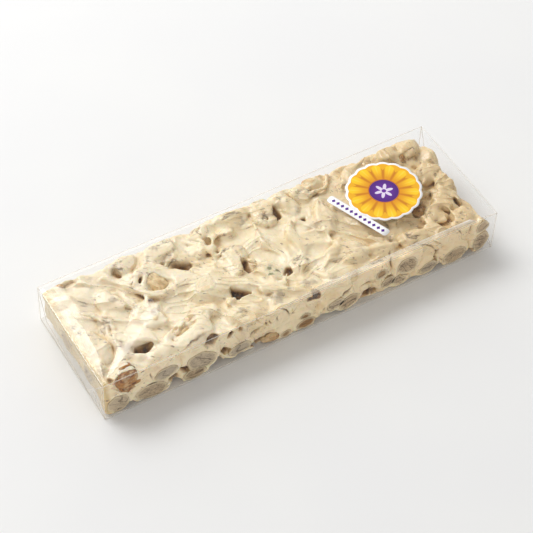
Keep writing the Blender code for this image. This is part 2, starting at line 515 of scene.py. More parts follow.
plain = (X, Y, Z)
cut_nuts = []
cut_near = np.full(X.shape, 9.0, np.float32)
for side in sides:
    for nut in sides[side][2]:
        centre, half, nut_axes = cut_nut_place(side, nut)
        facets = facets_of(half, 20, 0.14, layout)
        cut_nuts.append((centre, facets, nut_axes, nut[5]))
        part = part_of_grid(centre, np.full(3, max(half) + 5))
        lump = pebble(part, centre, facets, nut_axes, space=plain) - COAT
        cut_near[part] = np.minimum(cut_near[part], lump)
        skin[part] = melt(skin[part], lump, 1.2)
nut_near = np.minimum(nut_near, cut_near)
print(len(cut_nuts), "nuts on the cut sides")

# %% [markdown]
# ## Nuts that show bare
#
# Some nuts stick out with their skin bare, and the foam climbs a little way up their sides. In the block of numbers
# such a nut is half a millimetre too small, so that the real nut, made from the same planes, stands proud of it.

# %% Bare nuts
# x, y, half length, half width, half height, turn and tilt in degrees, height of the top, tone, wrinkle height
BARE_NUTS = [
    (-34, -4, 12.0, 9.2, 6.0, 12, 0, 24.5, 0.05, 0.1),
    (-22.5, 26.5, 6.0, 4.5, 4.5, 10, 0, 23.2, 0.15, 0.9), (38, 28, 5.2, 5.2, 5.0, 0, 0, 23.8, 0.45, 0.25),
    (99, 19, 4.2, 9.0, 6.0, -8, 0, 20.5, 0.35, 0.3), (8, 22, 2.4, 4.6, 4.0, -15, 0, 24.4, 0.42, 0.1),
    (-54, 9.5, 8.8, 5.0, 4.5, -50, 0, 22.6, 0.40, 1.2), (-89.6, -28, 5.6, 4.8, 8.2, 0, 8, 25.2, 1.00, 1.5),
    (-94.0, 28.5, 3.0, 2.2, 3.0, 10, 0, 22.8, 0.65, 0.5), (-72, -15, 2.4, 3.2, 3.0, 10, 0, 23.9, 0.05, 0.3),
    (-64.5, -9, 5.0, 2.4, 3.0, 20, 0, 24.2, 0.12, 0.15), (24, -26.8, 6.6, 3.0, 5.0, -22, 0, 23.6, 0.42, 0.3),
    (-12.5, 19.5, 4.0, 2.0, 3.0, -30, 0, 22.8, 0.50, 0.5), (-55, -22, 6.5, 2.6, 3.0, 8, 0, 23.0, 0.55, 0.6),
    (75, -9.5, 4.0, 6.0, 4.0, -15, 0, 20.5, 0.80, 0.3), (97, -26, 2.6, 4.0, 6.0, 0, 0, 12.5, 0.60, 0.3),
    (-17, -29.4, 7.0, 2.6, 1.3, 0, 0, 4.2, 0.70, 0.2), (84.5, 22.5, 4.0, 3.5, 3.5, 30, 0, 22.0, 0.85, 0.5),
]
NUT_STANDS_OUT = 0.5
MENISCUS = 2.5
bare_nuts = []
for x, y, long, wide, high, turn, tilt, top, tone, wrinkle in BARE_NUTS:
    centre = np.array([x, y, top - high])
    nut_axes = turned_axes(math.radians(turn), math.radians(tilt))
    facets = facets_of(np.array([long, wide, high]), 16, 0.22, layout)
    bare_nuts.append((centre, facets, nut_axes, tone, wrinkle))
    part = part_of_grid(centre, np.full(3, max(long, wide, high) + 5))
    lump = pebble(part, centre, facets, nut_axes, space=plain)
    skin[part] = melt(skin[part], lump + NUT_STANDS_OUT, MENISCUS)
print(len(bare_nuts), "bare nuts")

# %% [markdown]
# ## Pulled ridges
#
# When a spoon lifts off, it pulls the foam into a thin web between two lumps. A thin rod hung between their tops
# and melted in with a long reach gives that web: a sharp crest with hollow flanks.

# %% Webs between neighbours
WEB_SPAN = 19.0
WEB_SHARE = 0.55
WEB_RADIUS = 0.3
WEB_MELT = 3.2


def add_web(start, middle, end):
    for a, b in ((start, middle), (middle, end)):
        part = part_of_grid((a + b) / 2, np.abs(b - a) / 2 + 5)
        skin[part] = melt(skin[part], thread(part, a, b, WEB_RADIUS), WEB_MELT)


# x, y and z of three points along each crest that stands out
CRESTS = [
    (0, 18, 23.4, -1, 6, 22.6, 3, -6, 22.8), (17, 12, 23.2, 13, 4, 22.4, 13, -6, 21.8),
    (34, 17, 23.6, 29, 6, 22.6, 27, -7, 22.4), (-76, 23, 23.4, -69, 15, 22.4, -62, 7, 22.6),
    (-18, 22, 23.4, -24, 13, 22.8, -28, 4, 22.8), (-19, -15, 22.8, -9, -22, 22.4, 3, -25, 22.8),
    (17, -20, 22.8, 23, -13, 23.4, 31, -9, 23.2), (-66, -22, 23.0, -57, -17.5, 23.6, -45, -21, 23.2),
    (-61, 18, 23.2, -48, 16, 23.8, -46.5, 5, 23.4), (-44, 8, 23.0, -38, 1, 23.4, -29, 2, 22.8),
    (48, 17, 23.4, 56, 24, 23.8, 68, 30, 23.2), (-84, 24, 23.0, -78, 14, 23.4, -75, 4, 22.8),
    (-98, 14, 22.8, -88, 4, 23.2, -83, -6, 22.6), (40, -8, 22.8, 45, -14, 22.6, 52, -20, 22.8),
    (56, -17, 23.4, 66, -18, 23.6, 73, -24, 23.0), (-38, -18, 22.8, -30, -15.5, 22.4, -21, -14, 23.0),
    (83, -8, 23.2, 86, -15, 22.8, 84, -24, 23.2), (-70, -10, 23.2, -63, -12, 22.6, -55, -10, 22.8),
    (1, -14, 22.8, -4, -19, 22.4, -14, -18, 22.6), (90, 16, 22.8, 95, 8, 22.6, 97, -4, 22.2),
]
for crest in CRESTS:
    first, middle, last = (np.array(crest[k:k + 3], float) for k in (0, 3, 6))
    add_web(first, middle, last)

# lips of foam round open nuts: x, y, half length, half width, turn in degrees, height, from and to which angle
LIPS = [
    (-54.0, 9.5, 10.6, 6.8, -50, 22.8, 40, 300), (-55.5, -21.0, 11.0, 5.4, 12, 23.0, 0, 200),
    (8.0, 22.0, 4.6, 7.0, -15, 22.6, 30, 330), (38.0, 28.0, 7.0, 6.6, 0, 22.4, 150, 360),
    (-78.0, -20.5, 7.4, 4.6, -8, 22.4, 20, 160),
]
for x, y, long, wide, turn, height, first_angle, last_angle in LIPS:
    angle = np.radians(np.linspace(first_angle, last_angle, 14))
    c, d = math.cos(math.radians(turn)), math.sin(math.radians(turn))
    u, v = long * np.cos(angle), wide * np.sin(angle)
    lip = np.stack([x + c * u - d * v, y + d * u + c * v, height + 0.5 * np.sin(3 * angle)], 1)
    for a, b in zip(lip[:-1], lip[1:]):
        part = part_of_grid((a + b) / 2, np.abs(b - a) / 2 + 4)
        skin[part] = melt(skin[part], thread(part, a, b, 0.4), 2.0)

tops = np.array([(lump[0], lump[1], lump[5]) for lump in TOP_LUMPS])
webs = len(CRESTS)
for i in range(len(tops)):
    for j in range(i):
        if np.hypot(*(tops[i] - tops[j])[:2]) < WEB_SPAN and layout.random() < WEB_SHARE:
            middle = (tops[i] + tops[j]) / 2
            middle[2] = min(tops[i][2], tops[j][2]) - layout.uniform(0.8, 2.2)
            middle[:2] += layout.normal(size=2) * 2
            ends = [0.75 * p + 0.25 * middle - np.array([0, 0, 1.0]) for p in (tops[i], tops[j])]
            add_web(ends[0], middle, ends[1])
            webs += 1
print(webs, "webs")

# %% Folds along the flow
# The foam was pulled along curved lines. Two coordinates bent by a wide noise follow them, and folds are drawn out
# along the first. A fold runs where a noise passes through zero: (1 - |n|)^3 is a sharp crest there.
FLOW_BEND = 9.0
FLOW_SIZE = 26.0
FLOW_STRETCH = 2.8
flow_along = 0.83 * stirred_x - 0.55 * stirred_y + FLOW_BEND * soft_noise(X, Y, Z * 0, FLOW_SIZE, 61)
flow_across = 0.55 * stirred_x + 0.83 * stirred_y + FLOW_BEND * soft_noise(X, Y, Z * 0, FLOW_SIZE, 62)
broad = soft_noise(flow_along / FLOW_STRETCH, flow_across, 0.6 * stirred_z, 6.5, 11)
narrow = soft_noise(flow_along / FLOW_STRETCH, flow_across, 0.6 * stirred_z, 3.1, 14)
folded = np.clip(0.62 + 0.9 * soft_noise(X, Y, Z * 0, 15, 63), 0.25, 1)
folded *= 1 - 0.35 * np.clip((X - 20) / 50, 0, 1)
folds_out = folded * (1.6 * (1 - np.abs(broad)) ** 3 + 0.5 * (1 - np.abs(narrow)) ** 3 - 0.8)
skin -= folds_out + 0.5 * soft_noise(stirred_x, stirred_y, stirred_z, 8, 64)

# %% Rough patches
# Where a nut's broken edge lies just under the foam, the foam is finely wrinkled along one direction, and the floors
# of the wrinkles are painted dark, partly ground skin and partly painted shade. x, y, half length, half width, turn in
# degrees, strength
ROUGH_PATCHES = [
    (-88, 16, 7, 4, -40, 0.8), (-86, -6, 9, 2.6, 72, 1.0), (-67, 24, 5, 3, -60, 0.9), (-64, 16, 4, 3, 20, 0.7),
    (-43, 17, 6, 4, 40, 1.0), (-41, 26, 8, 3, -12, 0.7), (-47, -16, 6, 4, 10, 0.4), (-61, -15, 4, 3, -60, 0.6),
    (-23, 27, 6, 5, 60, 0.9), (-20, 11, 7, 3, 25, 1.0), (-22, -2, 8, 2.4, -78, 1.0), (-14, 4, 9, 2.6, -84, 1.0),
    (-6, 26, 8, 4, 5, 0.8), (-12, 20, 6, 3, -20, 0.9), (7, 19, 6, 5, 70, 1.0), (20, 25, 5, 4, 40, 0.5),
    (30, 25, 5, 5, 30, 0.8), (-5, -10, 5, 4, -50, 0.5), (14, -23, 7, 3, -62, 0.8), (24, -17, 6, 3, -10, 0.5),
    (31, -12, 3, 5, 10, 0.5), (22, 3, 5, 4, 0, 0.4), (57, -11, 7, 4, -85, 0.9), (62, -4, 7, 3, -70, 0.9),
    (75, -12, 8, 5, 75, 1.0), (61, -25, 7, 5, -30, 0.7), (92, -13, 5, 4, -60, 0.9), (96, -22, 4, 5, 70, 0.7),
    (83, 28, 6, 4, -40, 0.9), (94, 2, 5, 6, 50, 0.7), (46, -12, 7, 3, -60, 0.5), (85, 8, 6, 4, 60, 0.6),
    (-30, -26, 8, 3, 10, 0.6), (-8, -24, 7, 3, -12, 0.6), (40, -27, 7, 3, 5, 0.9), (-75, 12, 3, 8, 10, 0.4), (9.5, -11, 7.5, 7.5, 50, 1.0),
    (-98, 4, 3, 8, 10, 0.5), (88, -26, 6, 4, 30, 0.8), (46, 27, 6, 4, 30, 0.4), (-34, 10, 6, 4, -30, 0.7), (90, 20, 6, 4, 20, 0.9), (97, 12, 4, 5, -20, 0.8),
    (84, -4, 6, 4, -70, 0.9), (80, -22, 6, 4, 20, 0.7), (98, -10, 4, 6, 10, 0.7), (70, 27, 6, 3, 20, 0.7),
    (66, -14, 5, 3, -50, 0.8), (50, -20, 5, 3, 40, 0.6), (34, 22, 4, 5, 20, 0.7), (2, 8, 4, 2, 60, 0.5),
    (40, 10, 5, 3, 60, 0.5), (-50, 24, 6, 3, 20, 0.7), (-72, 2, 5, 3, -40, 0.6), (-30, 22, 5, 3, -50, 0.8),
]
vein = np.zeros(X.shape, np.float32)
for x, y, long, wide, turn, strength in ROUGH_PATCHES:
    centre = np.array([x, y, 20.0])
    part = part_of_grid(centre, np.array([max(long, wide) + 2] * 2 + [7]))
    c, d = math.cos(math.radians(turn)), math.sin(math.radians(turn))
    dx, dy, dz = stirred_x[part] - x, stirred_y[part] - y, stirred_z[part]
    along, across = c * dx + d * dy, c * dy - d * dx
    mask = strength * np.clip(1.5 - 1.5 * np.sqrt((along / long) ** 2 + (across / wide) ** 2), 0, 1)
    wrinkle = np.abs(soft_noise(along / 3.2, across, dz / 1.6, 2.4, 51))
    skin[part] += mask * (0.75 - 1.9 * wrinkle)
    # vein marks the wrinkles' floors, where dark is painted: partly ground skin, partly painted shade.
    vein[part] = np.maximum(vein[part], mask * np.clip(1.1 - 4.5 * wrinkle, 0, 1))
print(len(ROUGH_PATCHES), "rough patches")

# %% Bare nuts cleared
# The upper part of each bare nut is freed again from the folds that ran over it.
SHOWING = 0.7
for (centre, facets, nut_axes, _, _), row in zip(bare_nuts, BARE_NUTS):
    high, top = row[4], row[7]
    part = part_of_grid(centre, np.full(3, max(row[2:5]) + 4))
    lump = pebble(part, centre, facets, nut_axes, space=plain)
    over = carve(lump + 0.3, (top - SHOWING * high) - Z[part], 1.0)
    skin[part] = melt(carve(skin[part], -over, 1.4), lump + NUT_STANDS_OUT, MENISCUS)
print("bare nuts show", SHOWING, "of their half height")

# %% [markdown]
# ## Hollows
#
# Air gaps stay open between nuts. Each is a small lump that is cut out instead of added.

# %% Hollows in the top
# x, y, z, half length, half width, half depth, turn in degrees
HOLLOWS = [
    (-77.5, -21, 21, 4.4, 1.8, 5, -8), (6, -31, 20, 2.4, 3.4, 4.6, 0), (3, -31, 16.8, 1.6, 3, 1.4, 0),
    (23.5, 12, 21, 1.0, 1.0, 2.5, 0), (-24, -13.5, 21.2, 5.0, 1.3, 3.0, -14), (-40, 12, 21.0, 5.0, 1.1, 3.0, -8),
    (12.8, 20, 21, 3.5, 0.7, 3, 65), (-13.2, -2, 21.5, 6, 0.6, 3, 82),
    (2.2, -12, 21.0, 3, 0.7, 3, 80), (75, -10.5, 21, 3.0, 5.0, 5.0, -15), (85, 21, 21, 2.0, 1.2, 3, 0),
    (92, -14.5, 21, 0.9, 1.8, 3, 10), (-54, 9.5, 24.6, 8, 4.2, 3.2, -50), (-56, -20.5, 23.8, 7, 1.0, 2.0, 14),
    (-69, 24, 22.5, 3, 1.0, 2.4, -55), (-88, 27, 22.6, 4.0, 2.4, 2.6, -30),
    (-21, 12, 23.6, 4, 0.6, 1.4, 40), (88, 16, 21, 2.4, 1.0, 3, -30), (70, -20, 21, 2.4, 0.8, 3, -30),
]
hollow = np.zeros(X.shape, np.float32)
for x, y, z, long, wide, deep, turn in HOLLOWS:
    half = np.array([long, wide, deep])
    centre = np.array([x, y, z])
    part = part_of_grid(centre, np.full(3, max(half) + 3))
    axes_of_hole = turned_axes(math.radians(turn), 0.0)
    hole = pebble(part, centre, facets_of(half, 9, 0.35, layout), axes_of_hole, sharpness=4.0)
    skin[part] = carve(skin[part], -hole, 0.8)
    # Painted shade: the walls deep in each hollow are marked to be painted golden brown to near black.
    wall = np.clip(1.0 - hole / 0.8, 0, 1) * np.clip((21.6 - Z[part]) / 4.5, 0, 1)
    hollow[part] = np.maximum(hollow[part], wall)
print(len(HOLLOWS), "hollows in the top")

# %% Gaps in the front
# along the front, height, half length, half height, how deep, turn in degrees
FRONT_GAPS = [
    (-68.0, 5.6, 3.2, 1.2, 5, -8), (-66.0, 1.8, 2.2, 2.6, 5, 0), (-62.4, 8.6, 3.0, 1.1, 5, -28),
    (-48.5, 19.2, 3.6, 1.0, 6, 18), (-38.3, 17.6, 1.0, 2.9, 5, -14), (-33.2, 17.6, 0.5, 3.0, 4, 12),
    (-41.6, 8.4, 1.4, 2.2, 5, 0), (-25.0, 3.6, 4.6, 1.7, 6, -10), (-17.0, 3.9, 3.8, 0.9, 5, -3),
    (34.0, 3.7, 3.0, 2.0, 6, 10), (70.0, 8.0, 2.0, 0.7, 4, 20), (45.0, 11.0, 1.4, 0.6, 4, 0),
    (-90.5, 0.8, 1.6, 3.0, 6, 0), (-45.5, 1.6, 3.4, 2.8, 6, 15), (7.0, 0.5, 2.0, 2.0, 6, 0),
    (73.0, 0.6, 2.6, 3.0, 6, 0), (90.0, 1.0, 2.0, 3.6, 6, 0), (-35.0, 0.3, 2.6, 1.8, 6, 0),
    (-98.2, 22.0, 1.0, 2.6, 5, 8), (-45.0, 5.0, 1.8, 1.0, 4, 30), (38.0, 3.0, 2.4, 0.9, 4, 50),
    (30.5, 3.0, 1.8, 0.9, 4, -55), (71.6, 11.5, 0.9, 2.6, 4, -40),
]
for along, height, long, high, deep, turn in FRONT_GAPS:
    centre = np.array([along, FRONT_CUT, height])
    part = part_of_grid(centre, np.full(3, max(long, high, deep) + 3))
    gap_axes = turned_axes(0.0, math.radians(turn))
    gap = pebble(part, centre, facets_of(np.array([long, deep, high]), 12, 0.2, layout), gap_axes, 12.0, plain)
    skin[part] = carve(skin[part], -gap, 0.25)
    # Painted shade: the walls deep in each gap are marked the same way.
    wall = np.clip(1.0 - gap / 0.7, 0, 1) * np.clip((Y[part] - FRONT_CUT - 0.8) / 4.0, 0, 1)
    hollow[part] = np.maximum(hollow[part], wall)
print(len(FRONT_GAPS), "gaps in the front")

# %% Creases in the front
# Thin creases where the coats of two nuts met: start and end along the front and up it, half width, bend, depth.
CREASES = [
    (-79.8, 15.6, -79.2, 11.8, 0.6, 0.3, 0.8), (-13.6, 21.0, -8.0, 10.5, 0.45, -0.8, 1.2),
    (-20.4, 15.2, -19.4, 11.8, 0.5, 0.6, 1.0), (-18.8, 15.0, -18.0, 12.2, 0.4, 0.3, 1.0),
    (-14.8, 15.6, -14.4, 11.4, 0.45, 0.5, 1.0), (17.6, 11.0, 25.0, 14.6, 0.6, 0.9, 1.0),
    (30.0, 11.0, 35.8, 9.4, 0.6, -1.2, 1.2), (47.2, 25.0, 47.4, 13.6, 0.5, 1.6, 1.0),
    (42.0, 11.0, 48.0, 10.4, 0.5, 1.2, 1.0), (83.0, 19.8, 85.0, 16.6, 0.4, 0.2, 1.0),
    (59.6, 3.6, 67.0, 2.0, 0.5, 0.4, 0.9), (-32.0, 11.4, -21.6, 12.2, 0.8, 0.9, 0.7),
    (91.2, 21.0, 90.6, 13.4, 0.5, 0.4, 0.8), (60.0, 24.0, 71.0, 10.6, 0.5, -1.6, 0.9),
    (66.0, 24.0, 74.6, 12.0, 0.4, -1.2, 0.7), (-86.6, 6.0, -72.6, 3.2, 0.4, 4.6, 0.6),
    (-62.6, 20.6, -51.0, 22.4, 0.5, -1.6, 0.9), (-8.6, 12.6, -4.2, 14.4, 0.4, 0.8, 0.8),
    (-8.0, 10.8, -5.0, 12.0, 0.4, -0.6, 0.8), (51.6, 8.4, 58.6, 4.0, 0.5, 0.8, 0.9),
    (11.0, 8.6, 10.2, 5.0, 0.5, 0.4, 0.8), (-45.6, 7.4, -42.8, 3.0, 0.5, 0.6, 0.9),
    (75.0, 3.4, 72.0, 7.4, 0.4, 0.3, 0.8), (-25.0, 22.0, -22.6, 15.4, 0.4, 0.5, 0.6),
]
# This mask also says where the creases are painted brown, as painted shade.
crease = np.zeros(X.shape, np.float32)
for start_x, start_z, end_x, end_z, wide, bend, strength in CREASES:
    run_x, run_z = end_x - start_x, end_z - start_z
    length = math.hypot(run_x, run_z)
    middle = np.array([(start_x + end_x) / 2, FRONT_CUT + 1.5, (start_z + end_z) / 2])
    part = part_of_grid(middle, np.array([length / 2 + 2 + abs(bend), 4, length / 2 + 2 + abs(bend)]))
    dx, dz = stirred_x[part] - start_x, stirred_z[part] - start_z
    t = np.clip((dx * run_x + dz * run_z) / length**2, 0, 1)
    off = (dx * run_z - dz * run_x) / length - bend * 4 * t * (1 - t)
    beyond = np.hypot(off, np.hypot(dx - t * run_x, dz - t * run_z) * ((t == 0) | (t == 1)))
    mask = strength * np.clip(1.3 - beyond / wide, 0, 1) * (0.4 + 0.6 * np.sin(math.pi * np.clip(t, 0.05, 0.95)))
    crease[part] = np.maximum(crease[part], mask)
print(len(CREASES), "creases in the front")

# %% [markdown]
# ## Cut faces
#
# The bar was cut from a slab on its long sides and its left end, and broken off at its right end. The knife goes
# through nuts and foam alike and leaves a flat face, so these sides are planes. Between the nuts the foam has shrunk
# back from them, by a millimetre or two. The film presses the top flat where a lump touches it.

# %% Cut the block out
RIGHT_BREAK = 98.0
FILM_TOUCH = 23.9
UNDERSIDE = 0.5
SHRUNK = 1.3
skin = carve(skin, Z - FILM_TOUCH, 0.8)
shrunk = 0.1 + np.clip(cut_near / 3, 0, 1) * (SHRUNK + SHRUNK * soft_noise(X, Y, Z, 5, 13))
shrunk = np.maximum(shrunk + np.clip(cut_near / 1.5, 0, 1) * (0.7 - 0.9 * folds_out), 0.05) + 1.1 * crease
skin = carve(skin, FRONT_CUT - Y + shrunk, 0.25)
skin = carve(skin, Y - BACK_CUT + shrunk, 0.25)
skin = carve(skin, LEFT_CUT - X + 0.35 * shrunk, 0.8)
broken = RIGHT_BREAK + 3.0 * soft_noise(X * 0, Y, Z, 14, 15) + 1.5 * soft_noise(X * 0, Y, Z, 6, 16)
skin = carve(skin, X - broken, 1.0)
skin = carve(skin, UNDERSIDE - Z, 0.5)
print("solid share", round(float((skin < 0).mean()), 3))

# %% [markdown]
# ## From numbers to a skin
#
# Surface nets turn the block of numbers into a mesh. Every small cube that the skin passes through gets one vertex,
# at the mean of the points where the skin crosses the cube's edges. Every grid edge that the skin crosses gets one
# face, which joins the four cubes round it. The mesh is closed by its making.


# %% Surface nets
def crossings(field, axis):
    """For each grid edge along an axis that the skin crosses: its start, how far along the crossing is, and
    whether the start is inside."""
    first, second = np.moveaxis(field, axis, 0)[:-1], np.moveaxis(field, axis, 0)[1:]
    first, second = np.moveaxis(first, 0, axis), np.moveaxis(second, 0, axis)
    crossed = (first < 0) != (second < 0)
    a, b = first[crossed], second[crossed]
    return np.argwhere(crossed), a / (a - b), a < 0


def surface_nets(field):
    """Vertices in grid steps, and faces of four vertices each, wound to face outwards."""
    cells = np.array(field.shape) - 1
    total = np.zeros((3,) + tuple(cells))
    count = np.zeros(tuple(cells))
    edges = [crossings(field, axis) for axis in range(3)]
    for axis, (start, share, _) in enumerate(edges):
        point = start.astype(float)
        point[:, axis] += share
        for i in (0, 1):
            for j in (0, 1):
                cell = start.copy()
                cell[:, (axis + 1) % 3] -= i
                cell[:, (axis + 2) % 3] -= j
                kept = ((cell >= 0) & (cell < cells)).all(1)
                flat = np.ravel_multi_index(tuple(cell[kept].T), tuple(cells))
                for k in range(3):
                    total[k] += np.bincount(flat, point[kept, k], count.size).reshape(count.shape)
                count += np.bincount(flat, minlength=count.size).reshape(count.shape)
    used = count > 0
    number = np.full(count.shape, -1)
    number[used] = np.arange(used.sum())
    vertices = np.stack([total[k][used] / count[used] for k in range(3)], 1)
    faces = []
    for axis, (start, _, start_inside) in enumerate(edges):
        ring = []
        for i, j in ((0, 0), (1, 0), (1, 1), (0, 1)):
            cell = start.copy()
            cell[:, (axis + 1) % 3] -= i
            cell[:, (axis + 2) % 3] -= j
            ring.append(number[tuple(cell.T)])
        face = np.stack(ring, 1)
        face[~start_inside] = face[~start_inside][:, ::-1]
        faces.append(face)
    return vertices, np.concatenate(faces)


def largest_piece(vertices, faces):
    """Leaves out crumbs: every vertex takes the lowest number in its face until nothing changes, and the vertices
    with the commonest number stay."""
    label = np.arange(len(vertices))
    while True:
        lowest = label[faces].min(1)
        new = label.copy()
        for k in range(faces.shape[1]):
            np.minimum.at(new, faces[:, k], lowest)
        new = new[new]
        if (new == label).all():
            break
        label = new
    kept = label == np.bincount(label).argmax()
    number = np.cumsum(kept) - 1
    return vertices[kept], number[faces[kept[faces[:, 0]]]]


net_vertices, net_faces = largest_piece(*surface_nets(skin))
net_vertices = net_vertices * STEP + grid_low
print(len(net_vertices), "vertices and", len(net_faces), "faces")


# %% Meshes from arrays
def new_piece(name, vertices, faces, smooth=True):
    """A mesh object from an array of points in millimetres and an array of faces with equal numbers of corners."""
    mesh = bpy.data.meshes.new(name)
    mesh.vertices.add(len(vertices))
    mesh.vertices.foreach_set("co", (vertices * MM).astype(np.float32).ravel())
    mesh.loops.add(faces.size)
    mesh.loops.foreach_set("vertex_index", faces.astype(np.int32).ravel())
    mesh.polygons.add(len(faces))
    mesh.polygons.foreach_set("loop_start", np.arange(0, faces.size, faces.shape[1], dtype=np.int32))
    mesh.update(calc_edges=True)
    if smooth:
        mesh.shade_smooth()
    piece = bpy.data.objects.new(name, mesh)
    bpy.context.scene.collection.objects.link(piece)
    return piece


def points_of(piece):
    """The piece's vertices in millimetres, and their normals."""
    mesh = piece.data
    place = np.empty(len(mesh.vertices) * 3, np.float32)
    mesh.vertices.foreach_get("co", place)
    normal = np.empty(len(mesh.vertices) * 3, np.float32)
    mesh.vertex_normals.foreach_get("vector", normal)
    return place.reshape(-1, 3) / MM, normal.reshape(-1, 3)


def set_attribute(piece, name, values):
    """Keeps one number, or one vector, for each vertex."""
    values = np.asarray(values, np.float32)
    kind, key = ("FLOAT_VECTOR", "vector") if values.ndim == 2 else ("FLOAT", "value")
    piece.data.attributes.new(name, kind, "POINT").data.foreach_set(key, values.ravel())


def thinned(piece, most):
    """The piece with its flat stretches made of fewer faces, so that it has no more than this many triangles."""
    triangles = sum(len(polygon.vertices) - 2 for polygon in piece.data.polygons)
    if triangles > most:
        modifier = piece.modifiers.new("thinning", "DECIMATE")
        modifier.ratio = most / triangles
        graph = bpy.context.evaluated_depsgraph_get()
        mesh = bpy.data.meshes.new_from_object(piece.evaluated_get(graph))
        piece.modifiers.clear()
        piece.data = mesh
        mesh.shade_smooth()
    return piece


NOUGAT_TRIANGLES = 196000
nougat = thinned(new_piece("nougat", net_vertices, net_faces), NOUGAT_TRIANGLES)
print("nougat has", len(nougat.data.polygons), "faces")

# %% [markdown]
# ## What the skin knows
#
# The finish of nougat depends on where it is: deep gaps are painted warm and dark, painted shade for the light that
# reaches them only through the foam, and nuts show grey through a thin coat. Both can be read from the block of
# numbers at each vertex: how solid the surroundings are, and how far the nearest lump's own surface is.


# %% Readings for the finish
def blurred(field, radius):
    """The mean over a cube around each point, from running sums along each axis."""
    reach = max(1, round(radius / STEP))
    for axis in range(3):
        padded = np.concatenate([np.repeat(np.take(field, [0], axis), reach + 1, axis), field,
                                 np.repeat(np.take(field, [-1], axis), reach, axis)], axis)
        sums = np.cumsum(padded, axis, dtype=np.float64)
        size = field.shape[axis]
        ahead = np.take(sums, range(2 * reach + 1, 2 * reach + 1 + size), axis)
        field = ((ahead - np.take(sums, range(size), axis)) / (2 * reach + 1)).astype(np.float32)
    return field


def read_grid(field, points):
    """The field at points in millimetres, blended from the eight cubes around each."""
    scaled = np.clip((points - grid_low) / STEP, 0, np.array(field.shape) - 1.001)
    cell = np.floor(scaled).astype(int)
    t = scaled - cell
    total = 0
    for corner in np.ndindex(2, 2, 2):
        share = np.prod(np.where(corner, t, 1 - t), axis=1)
        total = total + share * field[tuple((cell + corner).T)]
    return total


def solid_around(points, radius):
    """0.5 on a flat face, more in a gap, less on a ridge."""
    return read_grid(blurred((skin < 0).astype(np.float32), radius), points)


skin_points, _ = points_of(nougat)
# gap_small and gap_large say where shade is painted into the nougat's colour
set_attribute(nougat, "gap_small", solid_around(skin_points, 1.5))
set_attribute(nougat, "gap_large", solid_around(skin_points, 4.0))
set_attribute(nougat, "coat", read_grid(nut_near, skin_points))
set_attribute(nougat, "vein", read_grid(vein, skin_points))
set_attribute(nougat, "crease", read_grid(crease, skin_points))
set_attribute(nougat, "hollow", read_grid(hollow, skin_points))
set_attribute(nougat, "flow", np.stack([read_grid(field, skin_points) for field in (
    flow_along * np.float32(0.3), flow_across, stirred_z)], 1) * MM)
set_attribute(nougat, "folds", np.stack([read_grid(field, skin_points) for field in (
    broad, narrow, cut_near)], 1))
print("solid share around the skin", solid_around(skin_points, 4.0).mean().round(2))

# %% [markdown]
# ## The nuts themselves
#
# A nut is a ball whose radius changes with direction. The same planes that made room for it in the foam give its
# shape: along a direction d, plane i is met at reach_i / (n_i . d), and a sum of high powers picks the nearest plane
# and rounds the corners. A knife's plane only has to hold back the points beyond it, which leaves the flat cut.


# %% Balls from planes
def ball_grid(around, along):
    """Directions over a ball: one point at each pole and rings between, with triangles that close it."""
    turn = np.linspace(0, 2 * math.pi, around, endpoint=False)
    fall = np.linspace(0, math.pi, along + 1)[1:-1]
    rings = np.stack([np.outer(np.sin(fall), np.cos(turn)), np.repeat(np.cos(fall)[:, None], around, 1),
                      np.outer(np.sin(fall), -np.sin(turn))], 2).reshape(-1, 3)
    points = np.concatenate([[[0, 1.0, 0]], rings, [[0, -1.0, 0]]])
    here = np.arange(around)
    after = (here + 1) % around
    first, last = 1, len(points) - 1 - around
    faces = [np.stack([np.zeros(around, int), first + here, first + after], 1),
             np.stack([np.full(around, len(points) - 1), last + after, last + here], 1)]
    for ring in range(along - 2):
        a, b = first + ring * around, first + (ring + 1) * around
        faces.append(np.stack([a + here, b + here, b + after], 1))
        faces.append(np.stack([a + here, b + after, a + after], 1))
    return points, np.concatenate(faces)


def depth_in(points, facets):
    """1 on the nut's surface and 0 at its middle: the sum of (n_i . p / reach_i)^12, to the power 1/12."""
    normals, reach = facets
    return (np.maximum(points @ normals.T / reach, 0) ** 12).sum(1) ** (1 / 12)


KNIFE_LOW = np.array([LEFT_CUT - 0.1, FRONT_CUT - 0.1, UNDERSIDE])
KNIFE_HIGH = np.array([pack_high[0] - 2.0, BACK_CUT + 0.1, 24.25])


def nut_points(directions, centre, facets, nut_axes, wrinkle):
    """Points of a nut in millimetres, with what its finish needs: its own coordinates, how far in from its skin
    each point is, and whether the knife cut there. A wrinkle is a ridge where a noise passes through zero."""
    own = directions / depth_in(directions, facets)[:, None]
    x, y, z = (own + centre).T
    ridges = 1 - 2 * np.abs(soft_noise(x, y, z, 3.4, 31)) ** 0.7
    fine = soft_noise(x, y, z, 1.5, 32)
    own = own + directions * (wrinkle * (0.75 * ridges + 0.35 * fine))[:, None]
    points = own @ nut_axes + centre
    held = np.clip(points, KNIFE_LOW, KNIFE_HIGH)
    cut = (np.abs(held - points)[:, :2].max(1) > 1e-4).astype(float)
    own = (held - centre) @ nut_axes.T
    inset = (1 - np.minimum(depth_in(own, facets), 1)) * facets[1].min()
    return held, own, inset, cut


